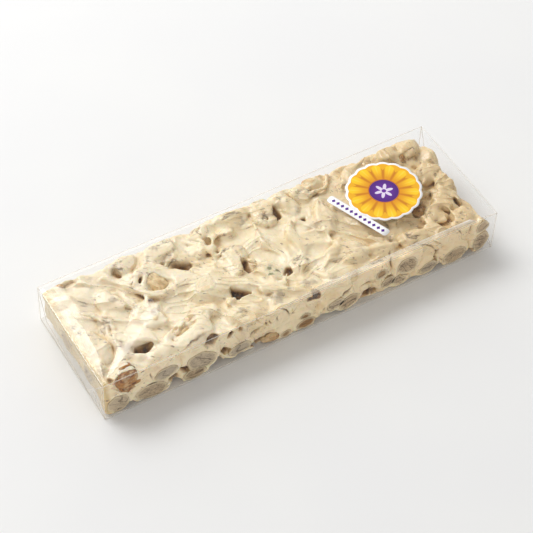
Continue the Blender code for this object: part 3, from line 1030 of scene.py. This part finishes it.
def joined_nuts(name, nuts, around, along):
    """Many nuts as one piece. Each is (centre, facets, axes, tone, wrinkle)."""
    directions, ball_faces = ball_grid(around, along)
    rows, faces = [], []
    for number, (centre, facets, nut_axes, tone, wrinkle) in enumerate(nuts):
        held, own, inset, cut = nut_points(directions, centre, facets, nut_axes, wrinkle)
        rest = np.stack([inset, cut, np.full(len(held), tone), np.full(len(held), float(number))], 1)
        rows.append(np.concatenate([held, own + number * 40.0, rest], 1))
        faces.append(ball_faces + number * len(directions))
    rows = np.concatenate(rows)
    piece = new_piece(name, rows[:, :3], np.concatenate(faces))
    set_attribute(piece, "own", rows[:, 3:6] * MM)
    for key, column in zip(("inset", "cut", "tone", "number"), rows.T[6:]):
        set_attribute(piece, key, column)
    print(name, "has", len(piece.data.polygons), "triangles")
    return piece


sliced = joined_nuts("sliced_nuts", [nut + (0.1,) for nut in cut_nuts], 44, 32)
sliced.data.set_sharp_from_angle(angle=math.radians(50))
bare = joined_nuts("bare_nuts", bare_nuts, 72, 48)
bare.data.set_sharp_from_angle(angle=math.radians(60))

# %% [markdown]
# ## Nougat's finish
#
# Whipped egg white and sugar is a pale cream foam that lets light in, so it needs some subsurface light. In gaps its
# colour is painted warmer and darker, painted shade for light that has come a long way through it, and it is greyer
# where a nut lies close under it. Ground nut skins leave dark specks and short strokes that are pulled along with the
# foam.


# %% Nougat material
def nougat_material():
    material, shader, place = new_material(
        "nougat_foam", Subsurface_Weight=0.5, Subsurface_Scale=0.0018, Specular_IOR_Level=0.55)
    shader.inputs["Subsurface Radius"].default_value = (1.0, 0.66, 0.36)
    small = attribute(place, "gap_small")
    large = attribute(place, "gap_large")
    coat = attribute(place, "coat")
    cloudy = noise(place, 16, 3).step(0.35, 0.68)
    tint = cloudy.mix(colour(241, 227, 194), colour(233, 212, 169))
    # Painted light: the nougat is painted paler towards the left end, where the glare and the key light fall.
    far_left_light = place.node("SeparateXYZ", {0: place}, out=0).step(-0.080, -0.010, 0.4, 0.0)
    tint = far_left_light.mix(tint, colour(248, 238, 218))
    tint = noise(place, 5, 2).step(0.45, 0.75, 0.0, 0.5).mix(tint, colour(247, 237, 213))
    near_nut = coat.step(0.2, 1.2, 1.0, 0.0)
    grey = noise(place, 7, 3, 0.6).step(0.53, 0.66) * near_nut * 0.75
    tint = grey.mix(tint, colour(190, 174, 150))
    # Painted shade: the right end, which gets less of the key light, is painted darker and browner.
    right_end_shade = place.node("SeparateXYZ", {0: place}, out=0).step(0.0, 0.080)
    tint = right_end_shade.mix(tint, colour(224, 200, 156))
    # Painted light: the front cut face is painted paler and warmer.
    front = place.node("SeparateXYZ", {0: place}, out=1).step(-0.030, -0.028, 1.0, 0.0)
    tint = (front * 0.6).mix(tint, colour(253, 231, 192))
    # Painted shade: the left cut face is painted darker and more golden.
    left_face_shade = place.node("SeparateXYZ", {0: place}, out=0).step(-0.1010, -0.0985, 1.0, 0.0)
    tint = (left_face_shade * 0.85).mix(tint, colour(212, 186, 130))
    flow = attribute(place, "flow", "Vector")
    patch = noise(place, 8, 2).step(0.52, 0.62) * near_nut
    wavy = noise(flow, 5.0, 1, 0.5, distortion=0.4)
    lines = (wavy - 0.5).math("ABSOLUTE").step(0.006, 0.022, 1.0, 0.0) * patch
    tint = (lines * noise(place, 2.5, 1).step(0.45, 0.6, 0.0, 0.7)).mix(tint, colour(150, 126, 104))
    strokes = noise(flow, 1.1, 2).step(0.64, 0.70) * noise(place, 9, 1).step(0.46, 0.56)
    tint = (strokes * 0.75).mix(tint, colour(136, 112, 98))
    dense = (noise(flow, 2.6, 2, 0.5, distortion=0.8) - 0.5).math("ABSOLUTE").step(0.01, 0.04, 1.0, 0.0)
    # The floors of the rough patches' wrinkles are painted dark: partly ground nut skin, partly painted shade.
    rough = attribute(place, "vein").step(0.02, 0.45)
    groove_dirt_and_shade = (dense * rough * 0.75).most(attribute(place, "vein").step(0.25, 0.75) * noise(place, 3.0, 2).step(0.35, 0.55))
    tint = (groove_dirt_and_shade * 0.8).mix(tint, colour(112, 88, 66))
    for fleck in ((-6.2, -8.6, 23.0), (-7.6, -12.0, 22.6), (-3.6, -10.6, 23.0)):
        away = place.moved(tuple(-MM * v for v in fleck)).scaled((0.55, 1.0, 0.2))
        near = away.node("VectorMath", {0: away}, out=1, operation="LENGTH") + noise(place, 1.8, 1) * 0.0016
        tint = (near.step(0.0012, 0.0019, 1.0, 0.0) * 0.75).mix(tint, colour(104, 112, 66))
    cells = place.node("TexVoronoi", {"Vector": place, "Scale": 1 / (2.9 * MM)}, out="Distance")
    which = place.node("TexVoronoi", {"Vector": place, "Scale": 1 / (2.9 * MM)}, out="Color")
    some = which.node("SeparateColor", {0: which}).step(0.72, 0.74)
    tint = (cells.step(0.06, 0.12, 1.0, 0.0) * some * 0.5).mix(tint, colour(98, 70, 58))
    # Painted shade: gaps and recesses are painted golden, then brown, then dark brown where they are deepest.
    tint = (small.step(0.52, 0.66) * 0.35 + large.step(0.56, 0.70) * 0.3).mix(tint, colour(224, 190, 130))
    tint = (small.step(0.60, 0.76) * 0.6 + large.step(0.64, 0.80) * 0.5).least(0.95).mix(tint, colour(152, 106, 50))
    tint = (large.step(0.72, 0.86) * 0.7).mix(tint, colour(96, 64, 34))
    # Painted shade: the walls deep in hollows and gaps are painted golden brown, darkening to near black.
    hollow_at = attribute(place, "hollow")
    dark_part = noise(place, 3.0, 2).step(0.40, 0.60)
    tint = (hollow_at.step(0.02, 0.4) * 0.7).mix(tint, dark_part.mix(colour(200, 160, 96), colour(150, 104, 52)))
    tint = (hollow_at.step(0.25, 0.75) * 0.9).mix(tint, dark_part.mix(colour(140, 96, 44), colour(56, 34, 18)))
    # Painted shade: the front's creases are painted brown.
    tint = (attribute(place, "crease").step(0.2, 0.9) * 0.8).mix(tint, colour(120, 84, 48))
    # Painted shade: the narrowest creases are painted darkest brown.
    tint = (small.step(0.70, 0.88) * 0.85).mix(tint, colour(72, 44, 20))
    feed(shader, "Base Color", tint)
    feed(shader, "Roughness", noise(place, 8, 2).step(0.3, 0.7, 0.24, 0.40))
    folds_at = attribute(place, "folds", "Vector")
    crest = folds_at.node("SeparateXYZ", {0: folds_at}, out=0).math("ABSOLUTE").step(0.0, 0.16, 1.0, 0.0)
    small_crest = folds_at.node("SeparateXYZ", {0: folds_at}, out=1).math("ABSOLUTE").step(0.0, 0.25, 1.0, 0.0)
    grain = noise(place, 1.1, 2, 0.5) * 0.12 + noise(place, 3.2, 2) * 0.4 - lines * 0.35 - dense * rough * 0.6
    grain = grain + crest * 0.30 + small_crest * 0.2 
    feed(shader, "Normal", bump(place, grain, 0.0014, 0.7))
    return material


nougat.data.materials.append(nougat_material())

# %% [markdown]
# ## The finish of the nuts
#
# A sliced hazelnut or almond is matt and greyish beige, with a pale rim, a thin brown skin line and fine streaks that
# follow its length. A bare one has a streaked tan skin with a faint gloss.


# %% Nut materials
def sliced_material():
    material, shader, place = new_material("sliced_nut", Specular_IOR_Level=0.35, Roughness=0.5)
    own = attribute(place, "own", "Vector")
    inset = attribute(place, "inset")
    tone = attribute(place, "tone")
    flesh = tone.mix(colour(222, 208, 182), colour(204, 168, 118))
    which = (attribute(place, "number") * 0.377).math("FRACT")
    flesh = which.step(0.3, 0.8).mix(flesh, tone.mix(colour(206, 194, 174), colour(214, 176, 122)))
    flesh = (tone.step(0.7, 0.9) * 0.8).mix(flesh, colour(164, 112, 50))
    along = own.scaled((0.4, 1.0, 1.0))
    streaks = noise(along, 1.0, 3, 0.7, distortion=1.5)
    speckled = (which * 7.0).math("FRACT").step(0.2, 0.8, 0.25, 0.85)
    flesh = (streaks.step(0.48, 0.62) * speckled).mix(flesh, tone.mix(colour(126, 108, 90), colour(132, 90, 46)))
    swirl = noise(along, 5.0, 1, distortion=0.5)
    split = (swirl - 0.5).math("ABSOLUTE").step(0.004, 0.018, 1.0, 0.0)
    flesh = (split * 0.7).mix(flesh, colour(124, 100, 74))
    patchy = noise(own, 3.0, 1).step(0.40, 0.56)
    flesh = (inset.step(0.3, 1.1, 1.0, 0.0) * 0.8).mix(flesh, colour(240, 222, 184))
    flesh = (inset.step(0.03, 0.14, 1.0, 0.0) * patchy * 0.7).mix(flesh, colour(166, 124, 76))
    skin_tint = noise(own, 1.6, 2).mix(colour(226, 202, 156), colour(196, 156, 100))
    feed(shader, "Base Color", attribute(place, "cut").mix(skin_tint, flesh))
    feed(shader, "Normal", bump(place, streaks - split, 0.0014, 0.8))
    return material


def bare_material():
    material, shader, place = new_material("bare_nut", Specular_IOR_Level=0.5, Subsurface_Weight=0.2, Subsurface_Scale=0.001)
    own = attribute(place, "own", "Vector")
    tone = attribute(place, "tone")
    skin_tint = tone.node("ValToRGB", {0: tone}, stops=[
        (0.0, colour(246, 231, 198)), (0.3, colour(236, 214, 170)), (0.5, colour(220, 186, 136)),
        (0.8, colour(190, 144, 84)), (1.0, colour(178, 122, 52))])
    streaks = noise(own.scaled((0.5, 1.0, 1.0)), 1.8, 3, 0.65, distortion=1.0)
    skin_tint = (streaks.step(0.52, 0.62) * tone.step(0.0, 1.0, 0.25, 0.85)).mix(skin_tint, tone.mix(colour(190, 158, 114), colour(84, 38, 8)))
    upper = place.node("SeparateXYZ", {0: place}, out=2).step(0.017, 0.022) * tone.step(0.9, 1.0)
    skin_tint = (upper * noise(own, 2.0, 2).step(0.40, 0.55) * 0.8).mix(skin_tint, colour(116, 52, 16))
    smear = noise(own, 4.0, 3, 0.6).step(0.50, 0.60) * tone.step(0.2, 0.9, 0.8, 0.45)
    skin_tint = smear.mix(skin_tint, colour(234, 210, 164))
    feed(shader, "Base Color", skin_tint)
    feed(shader, "Roughness", streaks.step(0.3, 0.7, 0.28, 0.5))
    feed(shader, "Normal", bump(place, streaks, 0.0012, 0.6))
    return material


sliced.data.materials.append(sliced_material())
bare.data.materials.append(bare_material())

# %% [markdown]
# ## The film
#
# The pack is one sheet of clear film, a twentieth of a millimetre thick, folded into a box. As a surface it is a box
# with slightly rounded folds, pushed in and out by its creases. Film folds along straight lines that run together
# in a corner, so near the left end its height is a fan: it falls away from the corner by r g(a), where r is the
# distance to the corner, a the direction, and g a zigzag that is straight between the creases.

# %% The film's shape
FILM_TOP = 24.5
FOLD_RADIUS = 0.6
# corner, how far the folds reach, and rows of direction in degrees from +X with the fall for each millimetre
FANS = [
    ((-101.4, -29.8), 52.0, [(-10, 0), (14, 0.010), (26, 0.004), (31, 0.010), (46, 0.036), (52, 0.026), (68, 0.0),
                             (120, 0)]),
    ((102.5, 31.5), 26.0, [(-180, 0), (-150, 0.0), (-130, 0.012), (-121, 0.032), (-112, 0.004), (-90, 0)]),
    ((103.0, -28.0), 22.0, [(60, 0), (92, 0.0), (98, 0.004), (104, 0.024), (122, 0.0), (128, 0.02), (150, 0)]),
]
# where the crease along the left edge runs, and how steeply the film falls to the left of it
LEFT_CREASE_Y = (-29.8, -15.0, 0.4, 16.0, 32.0)
LEFT_CREASE_X = (-101.4, -97.2, -96.4, -99.4, -102.0)
LEFT_SLOPE = 0.075


def grid_lines(low, high, radius, spacing, fine_until=None, fine=None):
    """Places along one edge of the box, with three small steps round each fold, and closer together up to a place."""
    fold = radius * np.array([0, 0.3, 0.65])
    start = low + radius
    if fine:
        close = np.arange(start, fine_until, fine)
        start = fine_until
    else:
        close = np.empty(0)
    middle = np.linspace(start, high - radius, max(2, round((high - start) / spacing)))
    return np.concatenate([low + fold, close, middle, high - fold[::-1]])


def box_skin(lines):
    """All six sides of a box as grids over its own lines, with each point on an edge shared. Points and faces."""
    counts = [len(line) for line in lines]
    lattice, corners = [], []
    for axis in range(3):
        u, v = (axis + 1) % 3, (axis + 2) % 3
        for end in (0, counts[axis] - 1):
            i, j = np.meshgrid(np.arange(counts[u] - 1), np.arange(counts[v] - 1), indexing="ij")
            ring = []
            for di, dj in ((0, 0), (1, 0), (1, 1), (0, 1)):
                place = np.empty(i.shape + (3,), int)
                place[..., axis], place[..., u], place[..., v] = end, i + di, j + dj
                ring.append(np.ravel_multi_index(place.reshape(-1, 3).T, counts))
            corners.append(np.stack(ring if end else ring[::-1], 1))
    faces = np.concatenate(corners)
    used, faces = np.unique(faces, return_inverse=True)
    index = np.unravel_index(used, counts)
    points = np.stack([lines[k][index[k]] for k in range(3)], 1)
    return points, faces.reshape(-1, 4)


def rounded(points, low, high, radius):
    """Each point moved to q + radius * (p - q) / |p - q|, where q is p held inside the box shrunk by the radius."""
    inner = np.clip(points, low + radius, high - radius)
    away = points - inner
    return inner + radius * away / np.maximum(np.linalg.norm(away, axis=1), 1e-9)[:, None]


def smooth_step(value, low, high):
    t = np.clip((value - low) / (high - low), 0, 1)
    return t * t * (3 - 2 * t)


# where glare is painted on the film as a milky white highlight: the corner a crease fan starts from, the directions it
# lies between in degrees from +X, the distances over which it fades out, and its strength
GLARE_WEDGES = [
    ((-101.6, -30.4), 70.0, 93.0, 30.0, 66.0, 1.0), ((-101.6, -30.4), 24.0, 47.0, 14.0, 48.0, 0.6),
    ((102.8, 32.0), -143.0, -118.0, 10.0, 34.0, 0.30), ((102.8, 32.0), -112.0, -103.0, 14.0, 34.0, 0.5),
    ((103.0, -29.0), 98.0, 122.0, 6.0, 24.0, 0.35), ((-102.0, 33.0), -14.0, -4.0, 30.0, 90.0, 0.35),
]


def painted_film_glare(x, y):
    """Between 0 and 1; crisp at the creases that bound it."""
    total = np.zeros(len(x))
    for corner, first, last, near, far, strength in GLARE_WEDGES:
        dx, dy = x - corner[0], y - corner[1]
        distance = np.hypot(dx, dy)
        turn = np.degrees(np.arctan2(dy, dx))
        side = np.clip(np.minimum(turn - first, last - turn) * np.radians(1) * distance / 0.6, 0, 1)
        total = np.maximum(total, strength * side * smooth_step(distance, far, near))
    return total * (0.75 + 0.25 * soft_noise(x, y, x * 0, 9, 45))


def film_fall(x, y):
    """How far the top film lies below its highest level."""
    fall = LEFT_SLOPE * np.maximum(0, np.interp(y, LEFT_CREASE_Y, LEFT_CREASE_X) - x)
    for corner, reach, rows in FANS:
        dx, dy = x - corner[0], y - corner[1]
        distance = np.hypot(dx, dy)
        turns, falls = zip(*rows)
        fan = np.interp(np.degrees(np.arctan2(dy, dx)), turns, falls)
        fall += distance * fan * smooth_step(distance, reach, 0.7 * reach)
    fall += 1.0 * smooth_step(y, 26.0, 33.5) ** 2 * smooth_step(x, 60.0, -10.0)
    return fall + 0.10 * (1 + soft_noise(x, y, x * 0, 16, 41)) + 0.03 * (1 + soft_noise(x, y, x * 0, 5, 42))


film_low = np.array([pack_low[0], pack_low[1], pack_low[2]])
film_high = np.array([pack_high[0], pack_high[1], FILM_TOP])


def add_film():
    lines = [grid_lines(film_low[0], film_high[0], FOLD_RADIUS, 0.9, -72.0, 0.45),
             grid_lines(film_low[1], film_high[1], FOLD_RADIUS, 0.7),
             grid_lines(film_low[2], film_high[2], FOLD_RADIUS, 0.9)]
    points, faces = box_skin(lines)
    points = rounded(points, film_low, film_high, FOLD_RADIUS)
    x, y, z = points.T
    up = smooth_step(z, 10.0, FILM_TOP)
    side = np.sign(y) * smooth_step(np.abs(y), 31.0, 32.4)
    end = np.sign(x) * smooth_step(np.abs(x), 102.0, 103.4)
    slack = 0.25 * (1 + soft_noise(x, y, z, 14, 43)) + 0.08 * (1 + soft_noise(x, y, z, 4, 44))
    high_part = np.minimum(smooth_step(z, 0.5, 5), smooth_step(FILM_TOP - z, 0.5, 5))
    end_fold = 0.3 * np.abs(np.interp(y, [-32, -12, 10, 32], [0.0, 1.0, 0.2, 1.0])) * high_part
    fall = film_fall(x, y)
    points = points - np.stack([end * (0.3 * slack * high_part + end_fold * high_part), side * slack * high_part,
                                fall * up], 1)
    return new_piece("film", points, faces)


film = add_film()
print("film has", 2 * len(film.data.polygons), "triangles")

# %% [markdown]
# ## Seam and flaps
#
# The sheet is closed by a seam along the front top edge, and its ends are folded in like an envelope. There the film
# lies double, so it shows as a paler strip with crisp edges. Each is a thin slab over the film, closed all round.


# %% Doubled film
DOUBLE_THICKNESS = 0.12


def slab(name, outline, lift, thickness, normal_axis):
    """A flat outline, given as rows of two numbers going anticlockwise as seen from outside, with a thickness. Its
    outside and inside are fans round the outline's middle."""
    outline = np.asarray(outline, float)
    count = len(outline)
    closed = np.vstack([outline, outline.mean(0)])
    layers = []
    for height in (lift, lift + thickness):
        place = np.empty((count + 1, 3))
        place[:, normal_axis] = height
        place[:, (normal_axis + 1) % 3], place[:, (normal_axis + 2) % 3] = closed[:, 0], closed[:, 1]
        layers.append(place)
    here = np.arange(count)
    after = (here + 1) % count
    top = count + 1
    faces = [np.stack([here + top, after + top, np.full(count, count + top)], 1),
             np.stack([after, here, np.full(count, count)], 1),
             np.stack([here, after, after + top], 1), np.stack([here, after + top, here + top], 1)]
    return new_piece(name, np.concatenate(layers), np.concatenate(faces), smooth=False)


SEAM_LEFT, SEAM_RIGHT, SEAM_SLANT = -12.0, 92.0, 3.0
SEAM_BACK, SEAM_FRONT = -29.6, -31.9
seam = slab("film_seam", [(SEAM_LEFT, SEAM_FRONT), (SEAM_RIGHT, SEAM_FRONT), (SEAM_RIGHT - SEAM_SLANT, SEAM_BACK),
                          (SEAM_LEFT + 20.0, SEAM_BACK)], FILM_TOP + 0.05, 0.06, 2)
print("seam", SEAM_RIGHT - SEAM_LEFT, "mm long")


# %% Fold lines
FOLD_LINE = 0.2
LINE_SIDES = 6


def tube(path, radius):
    """A round line along a path: at each point a ring across the path's direction, with a point to close each end."""
    path = np.asarray(path, float)
    run = np.gradient(path, axis=0)
    run /= np.linalg.norm(run, axis=1)[:, None]
    across = np.cross(run, np.where(np.abs(run[:, 2:]) > 0.9, [[1.0, 0, 0]], [[0, 0, 1.0]]))
    across /= np.linalg.norm(across, axis=1)[:, None]
    third = np.cross(run, across)
    turn = np.linspace(0, 2 * math.pi, LINE_SIDES, endpoint=False)
    rings = path[:, None] + radius * (np.cos(turn)[:, None] * across[:, None] + np.sin(turn)[:, None] * third[:, None])
    points = np.concatenate([rings.reshape(-1, 3), path[:1], path[-1:]])
    here = np.arange(LINE_SIDES)
    after = (here + 1) % LINE_SIDES
    count = len(path) * LINE_SIDES
    faces = [np.stack([after, here, np.full(LINE_SIDES, count)], 1),
             np.stack([count - LINE_SIDES + here, count - LINE_SIDES + after, np.full(LINE_SIDES, count + 1)], 1)]
    starts = np.arange(len(path) - 1)[:, None] * LINE_SIDES
    a, b = (starts + here).ravel(), (starts + after).ravel()
    faces += [np.stack([a, b, b + LINE_SIDES], 1), np.stack([a, b + LINE_SIDES, a + LINE_SIDES], 1)]
    return points, np.concatenate(faces)


def straight(start, end, spacing=1.0):
    count = max(2, round(float(np.linalg.norm(np.subtract(end, start))) / spacing))
    return np.linspace(start, end, count)


def fold_paths():
    """The box's edges, just inside the film, and the slanting folds of its envelope ends."""
    (left, front, low), (right, back, high) = film_low + 0.45, film_high - 0.45
    paths = []
    for y in (front, back):
        paths.append(straight((left, y, high), (right, y, high)))
        paths.append(straight((left, y, low), (right, y, low)))
    for x in (left, right):
        paths.append(straight((x, front, high), (x, back, high)))
        paths.append(straight((x, front, low), (x, back, low)))
        for y in (front, back):
            paths.append(straight((x, y, low), (x, y, high)))
        paths.append(straight((x, front, high), (x, -14.4, low)))
        paths.append(np.vstack([straight((x, back, high), (x, 25.0, 6.0)), straight((x, 25.0, 6.0), (x, -14.4, low))[1:]]))
        paths.append(straight((x, -21.5, 8.3), (x, front, low)))
    for path in paths:
        high_part = path[:, 2] > 12
        path[high_part, 2] -= film_fall(path[high_part, 0], path[high_part, 1])
    return paths


def add_fold_lines():
    points, faces, total = [], [], 0
    for path in fold_paths():
        line_points, line_faces = tube(path, FOLD_LINE)
        points.append(line_points)
        faces.append(line_faces + total)
        total += len(line_points)
    return new_piece("film_folds", np.concatenate(points), np.concatenate(faces))


folds = add_fold_lines()
print("fold lines have", len(folds.data.polygons), "triangles")


# %% Film material
def film_material(name, mirror, milk=0.0, rough=0.03):
    """Clear film mirrors: a white metal whose alpha is its strength, mirror + (1 - mirror) (1 - cos)^5. Seen
    edge on it is a little grey. A doubled layer is also milky. Where glare is painted on, it turns a milky warm white,
    a painted highlight."""
    material, shader, place = new_material(name)
    facing = place.node("LayerWeight", {"Blend": 0.5}, out="Facing")
    tint = facing.step(0.75, 1.0).mix(colour(255, 255, 255), colour(214, 216, 217))
    # Painted highlight: where glare is painted, the film turns a milky warm white, less of a mirror and less clear.
    feed(shader, "Base Color", attribute(place, "haze").step(0.0, 0.3).mix(tint, colour(246, 240, 228)))
    feed(shader, "Roughness", noise(place, 30, 2).step(0.3, 0.7, rough, rough + 0.06))
    strength = attribute(place, "stretch") * mirror + attribute(place, "haze") * 0.22
    feed(shader, "Metallic", 1.0 - milk - attribute(place, "haze") * (0.9 - milk))
    feed(shader, "Alpha", (facing ** 5.5) * (1 - mirror) + strength)
    return material


film_points, _ = points_of(film)
set_attribute(film, "stretch", 1.0 + 0.1 * smooth_step(-film_points[:, 0], 60.0, 94.0) * smooth_step(film_points[:, 2], 18.0, 22.0))
# Painted highlight: wedges of glare painted on the film's top.
set_attribute(film, "haze", painted_film_glare(*film_points[:, :2].T) * smooth_step(film_points[:, 2], 20.0, 22.5))
for piece, milk in ((seam, 0.5), (folds, 0.3)):
    set_attribute(piece, "stretch", np.ones(len(piece.data.vertices)))
    set_attribute(piece, "haze", np.full(len(piece.data.vertices), milk))
film.data.materials.append(film_material("clear_film", 0.035))
seam.data.materials.append(film_material("doubled_film", 0.05, 0.8, 0.25))
# Painted highlight: the fold lines are milky white, for the light that the film's folds catch.
folds.data.materials.append(film_material("creased_film", 0.24, 1.0, 0.6))

# %% [markdown]
# ## The label
#
# A scalloped sticker with a strip under it, printed in golden yellow and purple on white. Its print is drawn from
# the distance to its own outline and from simple almond shapes round a purple disc.

# %% Label shape
BADGE_CENTRE = np.array([63.9, 4.8])
BADGE_WIDTH, BADGE_HEIGHT = 36.0, 38.0
SCALLOPS, SCALLOP_DEPTH = 18, 0.7
STRIP_LENGTH, STRIP_WIDTH, STRIP_RADIUS, STRIP_OVERLAP = 34.5, 4.4, 1.4, 1.0
READING_DIRECTION = math.radians(-69)
STRIP_MIDDLE = -BADGE_HEIGHT / 2 - STRIP_WIDTH / 2 + STRIP_OVERLAP
LABEL_BOTTOM = FILM_TOP + 0.06
LABEL_THICKNESS = 0.12
BADGE_LIFT = 0.04


def badge_outline(angle):
    """An oval whose distance from the middle dips between scallops by depth (|sin| - 1)."""
    swell = SCALLOP_DEPTH * (np.abs(np.sin(SCALLOPS * angle / 2)) - 1)
    return np.stack([(BADGE_WIDTH / 2 + swell) * np.cos(angle), (BADGE_HEIGHT / 2 + swell) * np.sin(angle)], -1)


def strip_outline(angle):
    """A rounded rectangle: a quarter of a small circle round each corner's middle, joined by straight runs."""
    direction = np.stack([np.cos(angle), np.sin(angle)], -1)
    corner = np.where(direction >= 0, 1, -1) * (np.array([STRIP_LENGTH / 2, STRIP_WIDTH / 2]) - STRIP_RADIUS)
    return corner + STRIP_RADIUS * direction + np.array([0, STRIP_MIDDLE])


def sticker(name, outline, rings, lift):
    """The outline drawn smaller and smaller to its middle, with a rim down to the film and the same underneath."""
    angle = np.linspace(0, 2 * math.pi, 360, endpoint=False)
    edge = outline(angle)
    middle = edge.mean(0)
    levels = [(1.0, 0.0)] + [(s, 1.0) for s in np.linspace(1.0, 0.0, rings)[:-1]]
    flat = np.concatenate([middle + s * (edge - middle) for s, _ in levels] + [[middle]])
    height = np.concatenate([np.full(360, h) for _, h in levels] + [[1.0]])
    inset = np.concatenate([(1 - s) * np.linalg.norm(edge - middle, axis=1) * h for s, h in levels]
                           + [[np.linalg.norm(edge - middle, axis=1).min()]])
    c, s = math.cos(READING_DIRECTION), math.sin(READING_DIRECTION)
    x = BADGE_CENTRE[0] + c * flat[:, 0] - s * flat[:, 1]
    y = BADGE_CENTRE[1] + s * flat[:, 0] + c * flat[:, 1]
    z = LABEL_BOTTOM + lift + LABEL_THICKNESS * height
    here = np.arange(360)
    after = (here + 1) % 360
    faces = []
    for ring in range(len(levels) - 1):
        a, b = ring * 360, (ring + 1) * 360
        faces += [np.stack([a + here, a + after, b + after], 1), np.stack([a + here, b + after, b + here], 1)]
    a, tip = (len(levels) - 1) * 360, len(flat) - 1
    faces.append(np.stack([a + here, a + after, np.full(360, tip)], 1))
    points = np.vstack([np.stack([x, y, z], 1), [[*np.stack([x, y], 1)[tip], LABEL_BOTTOM + lift]]])
    faces.append(np.stack([after, here, np.full(360, len(points) - 1)], 1))
    piece = new_piece(name, points, np.concatenate(faces), smooth=False)
    set_attribute(piece, "print", np.vstack([np.column_stack([flat, height]), [[*middle, 0.0]]]))
    set_attribute(piece, "rim", np.append(inset, 0.0))
    return piece


badge = sticker("label_badge", badge_outline, 16, BADGE_LIFT)
strip = sticker("label_strip", strip_outline, 6, 0.0)
print("label pieces have", len(badge.data.polygons), "and", len(strip.data.polygons), "triangles")


# %% Label print
PETALS = 14
DISC_RADIUS = 7.0
BORDER = 1.2
DIAMOND_SPACING = 2.6


def badge_material():
    """A golden flower: each petal darkens towards its sides, and a purple disc with a small white rosette is its
    heart. A plain white border follows the outline."""
    material, shader, place = new_material("badge_print", Roughness=0.22, Coat_Weight=0.4, Coat_Roughness=0.08)
    spot = attribute(place, "print", "Vector")
    u = spot.node("SeparateXYZ", {0: spot}, out=0)
    v = spot.node("SeparateXYZ", {0: spot}, out=1)
    rim = attribute(place, "rim")
    distance = (u * u + v * v) ** 0.5
    turn = v.math("ARCTAN2", u)
    side = ((turn * (PETALS / (2 * math.pi))).math("FRACT") - 0.5).math("ABSOLUTE")
    gold = distance.step(7.0, 15.0).mix(colour(226, 150, 8), colour(255, 204, 24))
    gold = side.step(0.24, 0.47).mix(gold, colour(206, 126, 6))
    gold = (side.step(0.0, 0.10, 1.0, 0.0) * distance.step(9, 15) * 0.5).mix(gold, colour(255, 224, 84))
    petal_tip = 16.6 - side * side * 14.0
    print_tint = (distance - petal_tip).step(-0.15, 0.15).mix(gold, colour(240, 176, 16))
    print_tint = distance.step(DISC_RADIUS + 0.45, DISC_RADIUS + 0.6, 1.0, 0.0).mix(print_tint, colour(198, 112, 10))
    disc = distance.step(2.0, DISC_RADIUS).mix(colour(100, 36, 150), colour(78, 24, 124))
    print_tint = distance.step(DISC_RADIUS - 0.08, DISC_RADIUS + 0.08, 1.0, 0.0).mix(print_tint, disc)
    rosette = (turn * 6.0).math("COSINE") * 1.5 + 3.1
    white = (distance - rosette).step(-0.12, 0.12, 1.0, 0.0) * distance.step(1.0, 1.2)
    print_tint = white.mix(print_tint, colour(226, 214, 236))
    print_tint = rim.step(BORDER - 0.1, BORDER + 0.1, 1.0, 0.0).mix(print_tint, colour(250, 250, 250))
    feed(shader, "Base Color", print_tint)
    return material


def strip_material():
    """White paper with a row of purple diamonds: |du| / a + |dv| / b < 1."""
    material, shader, place = new_material("strip_print", Roughness=0.25, Coat_Weight=0.4, Coat_Roughness=0.08)
    spot = attribute(place, "print", "Vector")
    u = spot.node("SeparateXYZ", {0: spot}, out=0)
    v = spot.node("SeparateXYZ", {0: spot}, out=1)
    du = ((u * (1 / DIAMOND_SPACING)).math("FRACT") - 0.5).math("ABSOLUTE") * DIAMOND_SPACING
    dv = (v - STRIP_MIDDLE).math("ABSOLUTE")
    diamond = (du * (1 / 0.95) + dv * (1 / 1.15)).step(0.92, 1.08, 1.0, 0.0)
    kept = u.math("ABSOLUTE").step(15.5, 15.6, 1.0, 0.0)
    feed(shader, "Base Color", (diamond * kept).mix(colour(250, 250, 250), colour(86, 34, 136)))
    return material


badge.data.materials.append(badge_material())
strip.data.materials.append(strip_material())

# %% [markdown]
# ## Ride on the frame
#
# Everything rides on the one body. The film, the seam, the nougat and its nuts together stand for the imported block,
# and the printed badge and strip stand for the flat label.

# %% Ride and replace
for piece, node, slot in ((film, "pack", "clear_film"), (seam, "pack", "clear_film"), (folds, "pack", "clear_film"), (nougat, "pack", "nougat"),
                          (sliced, "pack", "nuts"), (bare, "pack", "nuts"), (badge, "label", "label_print"),
                          (strip, "label", "label_print")):
    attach(piece, "root")
    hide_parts(node)
